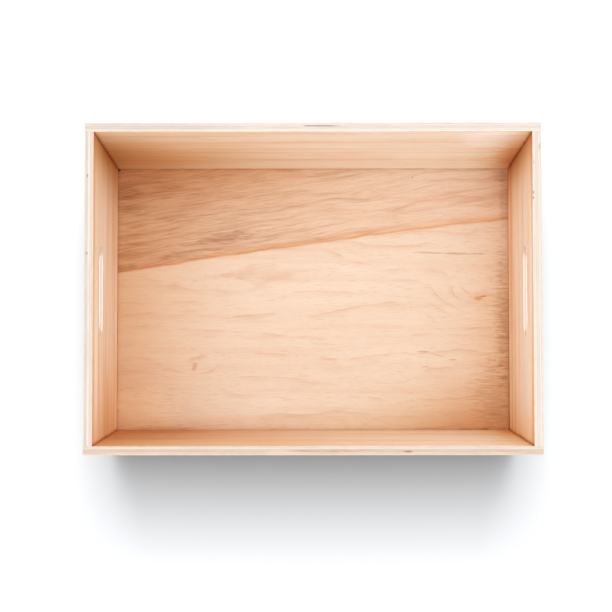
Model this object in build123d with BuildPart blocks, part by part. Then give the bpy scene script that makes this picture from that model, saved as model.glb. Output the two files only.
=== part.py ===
"""Open display box of five-ply board, with a hand slot in each end wall.

The two long walls run the full length and lean out towards the rim. The upright
end walls stand between them, and the floor is set in between all four. The
joints are plain butt joints, pinned from outside with headed brads.

Millimetres and degrees. X runs along the length, +Y points to the back wall,
and the box stands on Z = 0, centred on the origin.
"""

import os
from math import cos, radians, sin, tan

from build123d import *

# The box, over its outer faces
rim_length = 320.0
rim_width = 232.6
inner_depth = 140.0
board_thickness = 6.2
wall_lean = 3.0
edge_easing = 0.4
floor_gap = 0.5

# A hand slot, with its middle measured down from the rim
slot_length = 62.0
slot_height = 20.0
slot_drop = 43.5
slot_easing = 0.8

# A headed brad, driven a little below the surface
brad_length = 18.0
brad_radius = 0.55
brad_head_radius = 0.95
brad_head_height = 0.8
brad_point_length = 1.5
brad_sink = 0.4

# Rows of brads, and the margins from the ends of each row to the board's edges
corner_brad_count = 4
corner_brad_margin = 16.0
long_floor_brad_count = 5
end_floor_brad_count = 4
floor_brad_margin = 24.0

# Places that the boards share
box_height = inner_depth + board_thickness
lean_slope = tan(radians(wall_lean))
board_run = board_thickness / cos(radians(wall_lean))
end_outer_x = rim_length / 2
end_inner_x = end_outer_x - board_thickness
corner_brad_x = end_outer_x - board_thickness / 2
floor_brad_height = board_thickness / 2
slot_centre_height = box_height - slot_drop


def outer_y(height):
    """Distance from the middle to a long wall's outer face at a height."""
    return rim_width / 2 - (box_height - height) * lean_slope


def inner_y(height):
    """Distance from the middle to a long wall's inner face at a height."""
    return outer_y(height) - board_run


def spread(first, last, count):
    """Evenly spaced places from first to last."""
    return [first + (last - first) * step / (count - 1) for step in range(count)]


def on_back_wall(x, height):
    """A place on the back wall's outer face, with Z pointing straight out of it."""
    lean = radians(wall_lean)
    face = Plane(
        origin=(x, outer_y(height), height), x_dir=(-1, 0, 0), z_dir=(0, cos(lean), -sin(lean))
    )
    return face.location


def on_right_wall(y, height):
    """A place on the right end wall's outer face, with Z pointing straight out of it."""
    return Plane(origin=(end_outer_x, y, height), x_dir=(0, 1, 0), z_dir=(1, 0, 0)).location


def turned_brad(top):
    """A brad that points down -Z below its board's face, with its head reaching up to top."""
    head_base = -brad_sink - brad_head_height
    tip = -brad_sink - brad_length
    with BuildPart() as turned:
        with BuildSketch(Plane.XZ):
            with BuildLine():
                Polyline(
                    (0, top),
                    (brad_head_radius, top),
                    (brad_head_radius, head_base),
                    (brad_radius, head_base),
                    (brad_radius, tip + brad_point_length),
                    (0, tip),
                    close=True,
                )
            make_face()
        revolve(axis=Axis.Z)
    return turned.part


def save(piece, name):
    """Label a finished piece and write it as its own file."""
    piece.label = name
    export_step(piece, f"parts/{name}.step")


os.makedirs("parts", exist_ok=True)

# A brad, and the hole that it makes, open to the board's face above the sunk head
brad = turned_brad(-brad_sink)
brad_hole = turned_brad(brad_head_height)

# Where the brads of the back wall and the right end wall go
corner_heights = spread(
    board_thickness + corner_brad_margin, box_height - corner_brad_margin, corner_brad_count
)
long_row = spread(
    floor_brad_margin - end_outer_x, end_outer_x - floor_brad_margin, long_floor_brad_count
)
end_row_reach = inner_y(0) - floor_brad_margin
end_row = spread(-end_row_reach, end_row_reach, end_floor_brad_count)
back_left_places = [on_back_wall(-corner_brad_x, height) for height in corner_heights]
back_right_places = [on_back_wall(corner_brad_x, height) for height in corner_heights]
back_floor_places = [on_back_wall(x, floor_brad_height) for x in long_row]
right_floor_places = [on_right_wall(y, floor_brad_height) for y in end_row]

# The brads, one row to a node, each row mirrored across the box to the opposite wall
with BuildPart() as back_left_corner_brads:
    with Locations(*back_left_places):
        add(brad)
save(back_left_corner_brads.part, "back_left_corner_brads")

with BuildPart() as back_right_corner_brads:
    with Locations(*back_right_places):
        add(brad)
save(back_right_corner_brads.part, "back_right_corner_brads")

with BuildPart() as front_left_corner_brads:
    mirror(back_left_corner_brads.part, about=Plane.XZ)
save(front_left_corner_brads.part, "front_left_corner_brads")

with BuildPart() as front_right_corner_brads:
    mirror(back_right_corner_brads.part, about=Plane.XZ)
save(front_right_corner_brads.part, "front_right_corner_brads")

with BuildPart() as back_floor_brads:
    with Locations(*back_floor_places):
        add(brad)
save(back_floor_brads.part, "back_floor_brads")

with BuildPart() as front_floor_brads:
    mirror(back_floor_brads.part, about=Plane.XZ)
save(front_floor_brads.part, "front_floor_brads")

with BuildPart() as right_floor_brads:
    with Locations(*right_floor_places):
        add(brad)
save(right_floor_brads.part, "right_floor_brads")

with BuildPart() as left_floor_brads:
    mirror(right_floor_brads.part, about=Plane.YZ)
save(left_floor_brads.part, "left_floor_brads")

# Every hole that the brads make in the boards
with BuildPart() as brad_holes:
    with Locations(*back_left_places, *back_right_places, *back_floor_places):
        add(brad_hole)
    mirror(about=Plane.XZ)
    with BuildPart(mode=Mode.PRIVATE) as end_holes:
        with Locations(*right_floor_places):
            add(brad_hole)
        mirror(about=Plane.YZ)
    add(end_holes.part)

# The easing of the rim's inner edges, a flare that runs on past the rim
with BuildPart() as rim_flare:
    for rise in (-edge_easing, edge_easing):
        spread_out = edge_easing + rise
        with BuildSketch(Plane.XY.offset(box_height + rise)):
            Rectangle(
                2 * (end_inner_x + spread_out),
                2 * (inner_y(box_height - edge_easing) + spread_out),
            )
    loft(ruled=True)

# The back wall, a leaning board with level top and bottom edges
with BuildPart() as back_panel:
    with BuildSketch(Plane.YZ.offset(-end_outer_x)):
        with BuildLine():
            Polyline(
                (inner_y(0), 0),
                (outer_y(0), 0),
                (outer_y(box_height), box_height),
                (inner_y(box_height), box_height),
                close=True,
            )
        make_face()
    extrude(amount=rim_length)
    outer_face = faces().sort_by(SortBy.AREA)[-2:].sort_by(Axis.Y)[-1]
    rim_ends = faces().sort_by(Axis.Z)[-1].edges().filter_by(Axis.Y)
    chamfer(outer_face.edges() + rim_ends, edge_easing)
    add(rim_flare.part, mode=Mode.SUBTRACT)
    add(brad_holes.part, mode=Mode.SUBTRACT)
save(back_panel.part, "back_panel")

# The front wall, the back wall mirrored across the box
with BuildPart() as front_panel:
    mirror(back_panel.part, about=Plane.XZ)
save(front_panel.part, "front_panel")

# The right end wall, upright, widening upward between the leaning walls
with BuildPart() as right_end_panel:
    with BuildSketch(Plane.YZ.offset(end_inner_x)):
        with BuildLine():
            Polyline(
                (-inner_y(0), 0),
                (inner_y(0), 0),
                (inner_y(box_height), box_height),
                (-inner_y(box_height), box_height),
                close=True,
            )
        make_face()
        with Locations((0, slot_centre_height)):
            SlotOverall(slot_length, slot_height, mode=Mode.SUBTRACT)
    extrude(amount=board_thickness)
    outer_face = faces().sort_by(Axis.X)[-1]
    inner_face = faces().sort_by(Axis.X)[0]
    slot_edges = outer_face.inner_wires()[0].edges() + inner_face.inner_wires()[0].edges()
    fillet(slot_edges, slot_easing)
    outer_edges = faces().sort_by(Axis.X)[-1].outer_wire().edges().filter_by(Axis.Y)
    chamfer(outer_edges, edge_easing)
    add(rim_flare.part, mode=Mode.SUBTRACT)
    add(brad_holes.part, mode=Mode.SUBTRACT)
save(right_end_panel.part, "right_end_panel")

# The left end wall, the right one mirrored
with BuildPart() as left_end_panel:
    mirror(right_end_panel.part, about=Plane.YZ)
save(left_end_panel.part, "left_end_panel")

# The floor, bevelled to the lean of the long walls, tight on the left and a hair short on the right
with BuildPart() as bottom_panel:
    with BuildSketch(Plane.YZ.offset(-end_inner_x)):
        with BuildLine():
            Polyline(
                (-inner_y(0), 0),
                (inner_y(0), 0),
                (inner_y(board_thickness), board_thickness),
                (-inner_y(board_thickness), board_thickness),
                close=True,
            )
        make_face()
    extrude(amount=2 * end_inner_x - floor_gap)
    add(brad_holes.part, mode=Mode.SUBTRACT)
save(bottom_panel.part, "bottom_panel")
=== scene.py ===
"""Looks of an open display box of five-ply board, with a hand slot in each end wall.

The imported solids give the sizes. Five boards and eight rows of brads are made anew
in finer detail and stand for them. A board is measured in millimetres, along the
grain of its faces, across it, and in depth from the face inside the box to the face
outside it. Everything that Blender gets is in metres.
"""

from __future__ import annotations

import logging
import math
from dataclasses import dataclass, replace
from enum import Enum
from typing import Iterable, Mapping, Sequence

import bmesh
import bpy
import numpy as np
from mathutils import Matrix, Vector


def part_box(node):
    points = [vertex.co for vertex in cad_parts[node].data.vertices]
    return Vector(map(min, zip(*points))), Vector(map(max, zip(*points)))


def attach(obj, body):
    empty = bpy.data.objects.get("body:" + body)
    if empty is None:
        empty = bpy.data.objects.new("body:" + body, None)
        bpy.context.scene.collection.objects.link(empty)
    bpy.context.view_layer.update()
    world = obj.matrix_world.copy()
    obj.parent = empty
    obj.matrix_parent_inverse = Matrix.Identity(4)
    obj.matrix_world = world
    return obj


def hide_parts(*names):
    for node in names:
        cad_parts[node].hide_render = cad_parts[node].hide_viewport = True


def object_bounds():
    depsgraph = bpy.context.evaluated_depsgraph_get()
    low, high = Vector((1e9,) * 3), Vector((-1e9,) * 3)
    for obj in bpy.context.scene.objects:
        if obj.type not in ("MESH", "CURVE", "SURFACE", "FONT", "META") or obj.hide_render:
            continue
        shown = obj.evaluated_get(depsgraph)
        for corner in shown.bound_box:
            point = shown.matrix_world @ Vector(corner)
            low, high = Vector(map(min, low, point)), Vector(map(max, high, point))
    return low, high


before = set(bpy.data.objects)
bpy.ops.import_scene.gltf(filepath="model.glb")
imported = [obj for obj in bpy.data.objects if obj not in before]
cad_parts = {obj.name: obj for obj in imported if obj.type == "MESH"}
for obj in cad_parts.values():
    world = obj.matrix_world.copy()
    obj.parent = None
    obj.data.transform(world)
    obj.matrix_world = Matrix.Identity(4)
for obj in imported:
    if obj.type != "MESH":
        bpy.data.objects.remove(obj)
cad_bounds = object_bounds()

log = logging.getLogger("box")

MM = 0.001
PLY_SEAMS = (0.13, 0.36, 0.64, 0.87)

Colour = tuple[float, float, float]
Corner = tuple[float, float, float]
Feeds = Mapping[int | str, object]
Socket = bpy.types.NodeSocket


class Side(Enum):
    """Which of a board's surfaces a mark lies on."""

    INSIDE = "the face inside the box"
    RIM = "the upper edge"


class Hand(Enum):
    """Which of two mirrored boards is meant, by the sign of its own axis."""

    POSITIVE = 1
    NEGATIVE = -1


# Sizes


@dataclass(frozen=True)
class BoxSizes:
    """The box's sizes in millimetres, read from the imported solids.

    Attributes:
        half_length: From the middle to the outer face of an end wall.
        height: From the ground to the rim.
        thickness: Of every board.
        end_inner_x: From the middle to the inner face of an end wall.
        floor_right_x: From the middle to the floor's right edge.
        foot_inner_y: From the middle to the inner face of a long wall at the ground.
        lean_slope: How far a long wall leans out for each millimetre up.
    """

    half_length: float
    height: float
    thickness: float
    end_inner_x: float
    floor_right_x: float
    foot_inner_y: float
    lean_slope: float

    @classmethod
    def from_frame(cls) -> BoxSizes:
        """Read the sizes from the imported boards.

        Returns:
            The box's sizes.
        """
        wall_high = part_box("back_panel")[1] / MM
        end_low, end_high = (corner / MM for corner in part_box("right_end_panel"))
        floor_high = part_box("bottom_panel")[1] / MM
        lean_slope = (end_high.y - floor_high.y) / (wall_high.z - floor_high.z)
        return cls(
            half_length=wall_high.x,
            height=wall_high.z,
            thickness=floor_high.z,
            end_inner_x=end_low.x,
            floor_right_x=floor_high.x,
            foot_inner_y=floor_high.y - floor_high.z * lean_slope,
            lean_slope=lean_slope,
        )

    @property
    def lean(self) -> float:
        """The long walls' lean from upright, in radians."""
        return math.atan(self.lean_slope)

    def inner_y(self, height: np.ndarray | float) -> np.ndarray | float:
        """Distance from the middle to a long wall's inner face at a height."""
        return self.foot_inner_y + height * self.lean_slope

    def outer_y(self, height: np.ndarray | float) -> np.ndarray | float:
        """Distance from the middle to a long wall's outer face at a height."""
        return self.inner_y(height) + self.thickness / math.cos(self.lean)


@dataclass(frozen=True)
class BradSizes:
    """A headed brad in millimetres, how its rows are laid out, and how deep it sits."""

    length: float = 18.0
    shank_radius: float = 0.55
    head_radius: float = 0.93
    hole_radius: float = 0.95
    head_height: float = 0.8
    point_length: float = 1.5
    sink: float = 0.4
    corner_margin: float = 16.0
    corner_count: int = 4
    floor_margin: float = 24.0
    long_floor_count: int = 5
    end_floor_count: int = 4


def spread(first: float, last: float, count: int) -> list[float]:
    """Evenly spaced places, from the first to the last."""
    return [float(place) for place in np.linspace(first, last, count)]


class Unevenness:
    """A smooth, seeded unevenness between about -1 and 1, made of crossing waves."""

    def __init__(self, seed: int, wavelengths: Sequence[float], waves: int = 9) -> None:
        """Choose the waves.

        Args:
            seed: Fixes the waves.
            wavelengths: The shortest wavelength along each measure, in millimetres.
            waves: How many waves are added up.
        """
        chance = np.random.default_rng(seed)
        turns = chance.uniform(-1.0, 1.0, (waves, len(wavelengths)))
        self._waves = 2.0 * math.pi * turns / np.array(wavelengths)
        self._starts = chance.uniform(0.0, 2.0 * math.pi, waves)

    def at(self, *measures: np.ndarray) -> np.ndarray:
        """Unevenness at some places.

        Args:
            *measures: One array for each measure of the places.

        Returns:
            The unevenness at each place.
        """
        places = np.stack(np.broadcast_arrays(*measures), axis=-1)
        phases = places @ self._waves.T + self._starts
        return np.sin(phases).sum(axis=-1) / math.sqrt(len(self._starts))


def add_object(name: str, data: bpy.types.ID) -> bpy.types.Object:
    """Put a new object into the scene.

    Args:
        name: Its name.
        data: Its mesh, lamp or lens.

    Returns:
        The object.
    """
    made = bpy.data.objects.new(name, data)
    bpy.context.scene.collection.objects.link(made)
    return made


def round_off(mesh: bpy.types.Mesh, sharp: float) -> None:
    """Turn a mesh's faces outward, and shade them smooth between sharp edges.

    Args:
        mesh: The mesh.
        sharp: The angle between two faces, in degrees, from which an edge is sharp.
    """
    turned = bmesh.new()
    turned.from_mesh(mesh)
    bmesh.ops.recalc_face_normals(turned, faces=turned.faces)
    turned.to_mesh(mesh)
    turned.free()
    mesh.polygons.foreach_set("use_smooth", [True] * len(mesh.polygons))
    mesh.set_sharp_from_angle(angle=math.radians(sharp))


def hand_in(piece: bpy.types.Object, node: str) -> None:
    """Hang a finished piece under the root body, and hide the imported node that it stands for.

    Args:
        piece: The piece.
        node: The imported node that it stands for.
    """
    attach(piece, "root")
    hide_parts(node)
    log.info("%s: %d faces", piece.name, len(piece.data.polygons))


# Board meshes


@dataclass(frozen=True)
class Opening:
    """A round-ended hole or pocket through or into a board's face, in millimetres.

    Attributes:
        along: Its middle along the board.
        across: Its middle across the board.
        half_run: From its middle to the centre of either round end, 0 for a round hole.
        radius: Of its round ends.
        flare: Radius of the easing where it meets the face.
        margin: How much of the face around it is laid in rings.
        step: Spacing of the grid lines that its rings start from.
        pocket: How deep it goes from the outer face, or None where it goes through.
    """

    along: float
    across: float
    half_run: float
    radius: float
    flare: float
    margin: float
    step: float
    pocket: float | None = None

    def _lines(self, middle: float, reach: float) -> list[float]:
        """Grid lines on both sides of a middle, out to a reach."""
        count = 2 * max(2, round(reach / self.step)) + 1
        return spread(middle - reach, middle + reach, count)

    def lines_along(self) -> list[float]:
        """Grid lines along the board that its rings need."""
        return self._lines(self.along, self.half_run + self.radius + self.margin)

    def lines_across(self) -> list[float]:
        """Grid lines across the board that its rings need."""
        return self._lines(self.across, self.radius + self.margin)

    def outline(self, border: np.ndarray, grown: float) -> np.ndarray:
        """The round-ended outline, point for point with a border drawn round it.

        Args:
            border: Points round the opening, as rows of along and across.
            grown: How far the outline stands outside the opening's own.

        Returns:
            The outline's points, as rows of along and across.
        """
        spine = np.empty_like(border)
        spine[:, 0] = np.clip(
            border[:, 0], self.along - self.half_run, self.along + self.half_run
        )
        spine[:, 1] = self.across
        away = border - spine
        away /= np.linalg.norm(away, axis=1, keepdims=True)
        return spine + away * (self.radius + grown)


@dataclass(frozen=True)
class Chip:
    """A place on a board's edge where the wood has broken away or a core has a gap.

    Attributes:
        along: Its middle along the board.
        depth: Its middle in depth.
        reach_along: Half its length.
        reach_depth: Half its width.
        bite: How deep it goes.
    """

    along: float
    depth: float
    reach_along: float
    reach_depth: float
    bite: float


class BoardMesh:
    """One board as a closed skin of quads, laid in the board's own measures."""

    # How the rings round an opening share out the way to it.
    RING_SHARES = (0.0, 0.3, 0.55, 0.75, 0.9, 1.0)
    # Grid lines beside an edge, the widest spacing through the board, and the lines
    # beside a seam between two plies, all in millimetres.
    EASED_STEPS = (0.0, 0.08, 0.17, 0.28, 0.42, 0.75)
    STEP_DEPTH = 0.5
    BESIDE_SEAM = 0.09
    # How many points bend round an opening's easing.
    BENDS = 7
    # Points that agree to so many digits are welded.
    WELD_DIGITS = 4

    def __init__(
        self,
        low: Sequence[float],
        high: Sequence[float],
        openings: Sequence[Opening],
        step_along: float,
        step_across: float,
    ) -> None:
        """Set out the grid lines.

        Args:
            low: The board's lowest measures along, across and in depth.
            high: Its highest measures.
            openings: Holes and pockets in its broad faces.
            step_along: Widest spacing of the lines along the board.
            step_across: Widest spacing of the lines across it.
        """
        self.low = np.array(low, float)
        self.high = np.array(high, float)
        self.openings = list(openings)
        self._quads: list[np.ndarray] = []
        self._along = self._grid_lines(
            0, step_along, [place for hole in openings for place in hole.lines_along()]
        )
        self._across = self._grid_lines(
            1, step_across, [place for hole in openings for place in hole.lines_across()]
        )
        thickness = self.high[2] - self.low[2]
        seams = [self.low[2] + thickness * share for share in PLY_SEAMS]
        beside = (-self.BESIDE_SEAM, 0.0, self.BESIDE_SEAM)
        near_seams = [seam + offset for seam in seams for offset in beside]
        self._depth = self._grid_lines(2, self.STEP_DEPTH, near_seams)

    def _grid_lines(self, axis: int, step: float, needed: Iterable[float]) -> np.ndarray:
        """Lines on one measure: fine at both ends, as needed, and filled in between.

        Args:
            axis: The measure's number.
            step: Widest spacing.
            needed: Lines that have to be there.

        Returns:
            The lines in order.
        """
        low, high = self.low[axis], self.high[axis]
        wanted = [low + eased for eased in self.EASED_STEPS]
        wanted += [high - eased for eased in self.EASED_STEPS]
        wanted += needed
        lines = sorted({round(place, self.WELD_DIGITS) for place in wanted})
        filled = [lines[0]]
        for place in lines[1:]:
            gap = place - filled[-1]
            parts = max(1, math.ceil(gap / step - 1e-6))
            filled += [filled[-1] + gap * part / parts for part in range(1, parts)]
            filled.append(place)
        return np.array(filled)

    def _lay(self, sheet: np.ndarray, free: np.ndarray | None = None) -> None:
        """Add a sheet of points, rows by columns by 3, as quads: all, or the free ones.

        Args:
            sheet: The points.
            free: Which quads to add, or None for all.
        """
        corners = (sheet[:-1, :-1], sheet[1:, :-1], sheet[1:, 1:], sheet[:-1, 1:])
        quads = np.stack(corners, axis=2)
        self._quads.append(quads.reshape(-1, 4, 3) if free is None else quads[free])

    def _lay_edges(self) -> None:
        """Add the four narrow sides."""
        for place in (self.low[1], self.high[1]):
            along, depth = np.meshgrid(self._along, self._depth, indexing="ij")
            self._lay(np.stack([along, np.full_like(along, place), depth], axis=-1))
        for place in (self.low[0], self.high[0]):
            across, depth = np.meshgrid(self._across, self._depth, indexing="ij")
            self._lay(np.stack([np.full_like(across, place), across, depth], axis=-1))

    def _border(self, opening: Opening) -> tuple[np.ndarray, slice, slice]:
        """Grid points round an opening, closed, and the cells that its rings take.

        Args:
            opening: The opening.

        Returns:
            The points, and the slices of cells along and across the board.
        """
        columns, rows = (
            [int(np.argmin(abs(grid - lines[end]))) for end in (0, -1)]
            for grid, lines in (
                (self._along, opening.lines_along()),
                (self._across, opening.lines_across()),
            )
        )
        run = self._along[columns[0] : columns[1] + 1]
        rise = self._across[rows[0] : rows[1] + 1]
        points = [(place, rise[0]) for place in run]
        points += [(run[-1], place) for place in rise[1:]]
        points += [(place, rise[-1]) for place in run[-2::-1]]
        points += [(run[0], place) for place in rise[-2::-1]]
        return np.array(points), slice(*columns), slice(*rows)

    def _lay_face(self, depth: float, openings: Sequence[Opening]) -> None:
        """Add a broad face, with rings of quads round each opening.

        Args:
            depth: Where the face lies.
            openings: The openings that it has.
        """
        along, across = np.meshgrid(self._along, self._across, indexing="ij")
        sheet = np.stack([along, across, np.full_like(along, depth)], axis=-1)
        free = np.ones((len(self._along) - 1, len(self._across) - 1), bool)
        for opening in openings:
            border, columns, rows = self._border(opening)
            free[columns, rows] = False
            edge = opening.outline(border, opening.flare)
            self._lay_rings(
                (border + (edge - border) * share, depth) for share in self.RING_SHARES
            )
        self._lay(sheet, free)

    def _lay_rings(self, rings: Iterable[tuple[np.ndarray, float]]) -> None:
        """Add quads between rings of as many points, each at its own depth."""
        self._lay(
            np.stack([np.column_stack([ring, np.full(len(ring), depth)]) for ring, depth in rings])
        )

    def _lay_walls(self, opening: Opening) -> None:
        """Add the walls of an opening, eased where they meet a face.

        Args:
            opening: The opening.
        """
        border = self._border(opening)[0]
        flare, near, far = opening.flare, self.low[2], self.high[2]
        bends = [
            (flare * (1 - math.sin(turn)), flare * (1 - math.cos(turn)))
            for turn in np.linspace(0.0, math.pi / 2, self.BENDS)
        ]
        profile = [(grown, far - sunk) for grown, sunk in bends]
        if opening.pocket is None:
            middle = [place for place in self._depth if near + flare < place < far - flare]
            profile += [(0.0, place) for place in reversed(middle)]
            profile += [(grown, near + sunk) for grown, sunk in reversed(bends)]
        else:
            profile += [(0.0, far - opening.pocket), (-opening.radius, far - opening.pocket)]
        self._lay_rings((opening.outline(border, grown), depth) for grown, depth in profile)

    def skin(self) -> tuple[np.ndarray, list[list[int]]]:
        """Weld all the sheets.

        Returns:
            The points in the board's measures, and the faces as lists of their numbers.
        """
        self._lay_edges()
        self._lay_face(self.low[2], [hole for hole in self.openings if hole.pocket is None])
        self._lay_face(self.high[2], self.openings)
        for opening in self.openings:
            self._lay_walls(opening)
        corners = np.concatenate(self._quads).reshape(-1, 3)
        corners = np.round(corners, self.WELD_DIGITS)
        points, numbers = np.unique(corners, axis=0, return_inverse=True)
        faces = []
        for quad in numbers.reshape(-1, 4):
            face = list(dict.fromkeys(int(number) for number in quad))
            if len(face) > 2:
                faces.append(face)
        return points, faces


@dataclass(frozen=True)
class EdgeWork:
    """How a board's edges are worked: eased, uneven, and chipped here and there.

    Attributes:
        easing: Usual radius of an open edge.
        seam_easing: Radius of an edge that lies against another board.
        least_easing: Smallest radius anywhere.
        most_easing: Largest radius anywhere.
        swell: How far the radius comes and goes, as a share of it.
        nick_start: How rough the wood has to be before an open edge is nicked.
        nick_most: How much rougher than that counts.
        nick_easing: What that roughness adds to the radius.
        ply_step: How far the end-grain plies stand back from the others.
        grain_step: How far the sawn grain stands back unevenly.
        seed: Fixes the unevenness.
        chips: Gaps and chips on the upper edge.
    """

    easing: float = 0.38
    seam_easing: float = 0.1
    least_easing: float = 0.05
    most_easing: float = 1.2
    swell: float = 0.22
    nick_start: float = 0.9
    nick_most: float = 1.5
    nick_easing: float = 0.35
    ply_step: float = 0.05
    grain_step: float = 0.035
    seed: int = 1
    chips: tuple[Chip, ...] = ()


def ease_edges(
    points: np.ndarray, low: np.ndarray, high: np.ndarray, radii: np.ndarray
) -> np.ndarray:
    """Round a box's edges by moving the points that lie on its skin.

    Args:
        points: The points, one to a row.
        low: The box's lowest corner.
        high: The box's highest corner.
        radii: For each point, the rounding's reach on each measure.

    Returns:
        The moved points.
    """
    core = np.clip(points, low + radii, high - radii)
    out = points - core
    length = np.linalg.norm(out / radii, axis=1, keepdims=True)
    return core + out / np.maximum(length, 1.0)


# Shader wiring


class Signal:
    """A number on its way through a shader, on which sums are plain arithmetic."""

    def __init__(self, wiring: Wiring, socket: Socket) -> None:
        """Take hold of a node's output."""
        self.wiring = wiring
        self.socket = socket

    def _sum(self, operation: str, *others: Number, clamp: bool = False) -> Signal:
        """One Math node with this number first."""
        return self.wiring.math(operation, self, *others, clamp=clamp)

    def __add__(self, other: Number) -> Signal:
        """This and another."""
        return self._sum("ADD", other)

    def __sub__(self, other: Number) -> Signal:
        """This less another."""
        return self._sum("SUBTRACT", other)

    def __rsub__(self, other: float) -> Signal:
        """A plain number less this."""
        return self.wiring.math("SUBTRACT", other, self)

    def __mul__(self, other: Number) -> Signal:
        """This times another."""
        return self._sum("MULTIPLY", other)

    def __truediv__(self, other: Number) -> Signal:
        """This over another."""
        return self._sum("DIVIDE", other)

    __radd__ = __add__
    __rmul__ = __mul__

    def fraction(self) -> Signal:
        """What is left above the whole number below."""
        return self._sum("FRACT")

    def faded(self) -> Signal:
        """1 at nought, dying away as the number grows."""
        return (self * -1.0)._sum("EXPONENT")

    def raised(self, power: float) -> Signal:
        """The number to a power."""
        return self._sum("POWER", power)

    def size(self) -> Signal:
        """The number without its sign."""
        return self._sum("ABSOLUTE")

    def least(self, other: Number) -> Signal:
        """The smaller of two."""
        return self._sum("MINIMUM", other)

    def most(self, other: Number) -> Signal:
        """The larger of two."""
        return self._sum("MAXIMUM", other)

    def clipped(self) -> Signal:
        """The number held between 0 and 1."""
        return self._sum("ADD", 0.0, clamp=True)

    def rise(self, start: float, end: float) -> Signal:
        """A smooth climb from 0 at start to 1 at end, or a fall where end is lower.

        Args:
            start: Where the climb starts.
            end: Where it ends.

        Returns:
            The climb, from 0 to 1.
        """
        low, high, top = (start, end, 1.0) if start < end else (end, start, 0.0)
        limits = {"From Min": low, "From Max": high, "To Min": 1.0 - top, "To Max": top}
        return self.wiring.signal(
            "ShaderNodeMapRange", {"Value": self, **limits}, interpolation_type="SMOOTHSTEP"
        )

    def toward(self, other: Number, share: Number) -> Signal:
        """A blend of this and another, by the other's share."""
        return self + (self * -1.0 + other) * share


# A plain number, or one on its way.
Number = Signal | float


class Tint:
    """A colour on its way through a shader."""

    def __init__(self, wiring: Wiring, socket: Socket | Colour) -> None:
        """Take hold of a colour output, or of a plain colour."""
        self.wiring = wiring
        self.socket = socket

    def _mixed(self, other: Tint | Colour, share: Number, blend: str) -> Tint:
        """One Mix node with this colour first, and Blender's name for the way."""
        node = self.wiring.node(
            "ShaderNodeMix", {0: share, 6: self, 7: other}, data_type="RGBA", blend_type=blend
        )
        return Tint(self.wiring, node.outputs[2])

    def toward(self, other: Tint | Colour, share: Number) -> Tint:
        """A blend of this colour and another, by the other's share."""
        return self._mixed(other, share, "MIX")

    def stained(self, stain: Tint | Colour, share: Number) -> Tint:
        """This colour darkened by a stain, by a share."""
        return self._mixed(stain, share, "MULTIPLY")

    def darkened_by_shade_and_dirt(self, stain: Colour, depth: Signal) -> Tint:
        """This colour times the stain raised to a depth, for the painted shade and the seam dirt.
        """
        node = self.wiring.node("ShaderNodeGamma", {"Color": stain, "Gamma": depth})
        return self._mixed(Tint(self.wiring, node.outputs[0]), 1.0, "MULTIPLY")


class Wiring:
    """Makes and joins the nodes of one tree."""

    def __init__(self, tree: bpy.types.NodeTree) -> None:
        """Clear a tree and start it afresh."""
        self.tree = tree
        self.tree.nodes.clear()

    def node(self, kind: str, feeds: Feeds | None = None, **settings: object) -> bpy.types.Node:
        """Make a node.

        Args:
            kind: Blender's name for the kind of node.
            feeds: What its inputs get, by their numbers or names.
            **settings: Settings on the node itself.

        Returns:
            The node.
        """
        made = self.tree.nodes.new(kind)
        for name, value in settings.items():
            setattr(made, name, value)
        for name, value in (feeds or {}).items():
            self.feed(made.inputs[name], value)
        return made

    def first(self, kind: str, feeds: Feeds | None = None, **settings: object) -> Socket:
        """Make a node, and give its first output."""
        return self.node(kind, feeds, **settings).outputs[0]

    def signal(self, kind: str, feeds: Feeds | None = None, **settings: object) -> Signal:
        """Make a node, and take hold of the number that it gives first."""
        return Signal(self, self.first(kind, feeds, **settings))

    def feed(self, socket: Socket, value: object) -> None:
        """Join an output to a socket, or set the socket where the value is plain.

        Args:
            socket: The input to feed.
            value: What it gets.
        """
        source = value.socket if isinstance(value, (Signal, Tint)) else value
        if isinstance(source, Socket):
            self.tree.links.new(source, socket)
        elif isinstance(source, tuple) and socket.type == "RGBA":
            socket.default_value = (*source, 1.0)
        else:
            socket.default_value = source

    def math(self, operation: str, *values: Number, clamp: bool = False) -> Signal:
        """One sum by Blender's name for it, held between 0 and 1 where it is clamped."""
        feeds = dict(enumerate(values))
        return self.signal("ShaderNodeMath", feeds, operation=operation, use_clamp=clamp)

    def measure(self, place: Socket, direction: Vector, start: float = 0.0) -> Signal:
        """How far a place lies along a direction.

        Args:
            place: A vector output.
            direction: The direction, scaled to the measure's unit.
            start: What is taken off.

        Returns:
            The distance.
        """
        feeds = {0: place, 1: tuple(direction)}
        node = self.node("ShaderNodeVectorMath", feeds, operation="DOT_PRODUCT")
        return Signal(self, node.outputs["Value"]) - start

    def mottle(self, *place: Number, detail: float = 2.0, roughness: float = 0.5) -> Signal:
        """Smooth unevenness between 0 and 1, one unit long on each measure.

        Args:
            *place: Three measures, each over its own length.
            detail: How many finer layers are added.
            roughness: How strong the finer layers are.

        Returns:
            The unevenness.
        """
        joined = self.first("ShaderNodeCombineXYZ", dict(enumerate(place)))
        layers = {"Scale": 1.0, "Detail": detail, "Roughness": roughness}
        return self.signal("ShaderNodeTexNoise", {"Vector": joined, **layers})

    def relief(self, height: Signal, strength: float, distance: float) -> Socket:
        """A surface roughened by a height, of which 1 is so many millimetres."""
        feeds = {"Height": height, "Strength": strength, "Distance": distance * MM}
        return self.first("ShaderNodeBump", feeds)

    def surface(self, kind: str, feeds: Feeds) -> None:
        """End a material in a shader, with what its inputs get."""
        self.node("ShaderNodeOutputMaterial", {"Surface": self.first(kind, feeds)})


def new_material(name: str) -> tuple[bpy.types.Material, Wiring]:
    """Make an empty material.

    Args:
        name: Its name.

    Returns:
        The material, and the wiring of its nodes.
    """
    material = bpy.data.materials.new(name)
    material.use_nodes = True
    return material, Wiring(material.node_tree)


# Finishes


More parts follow.
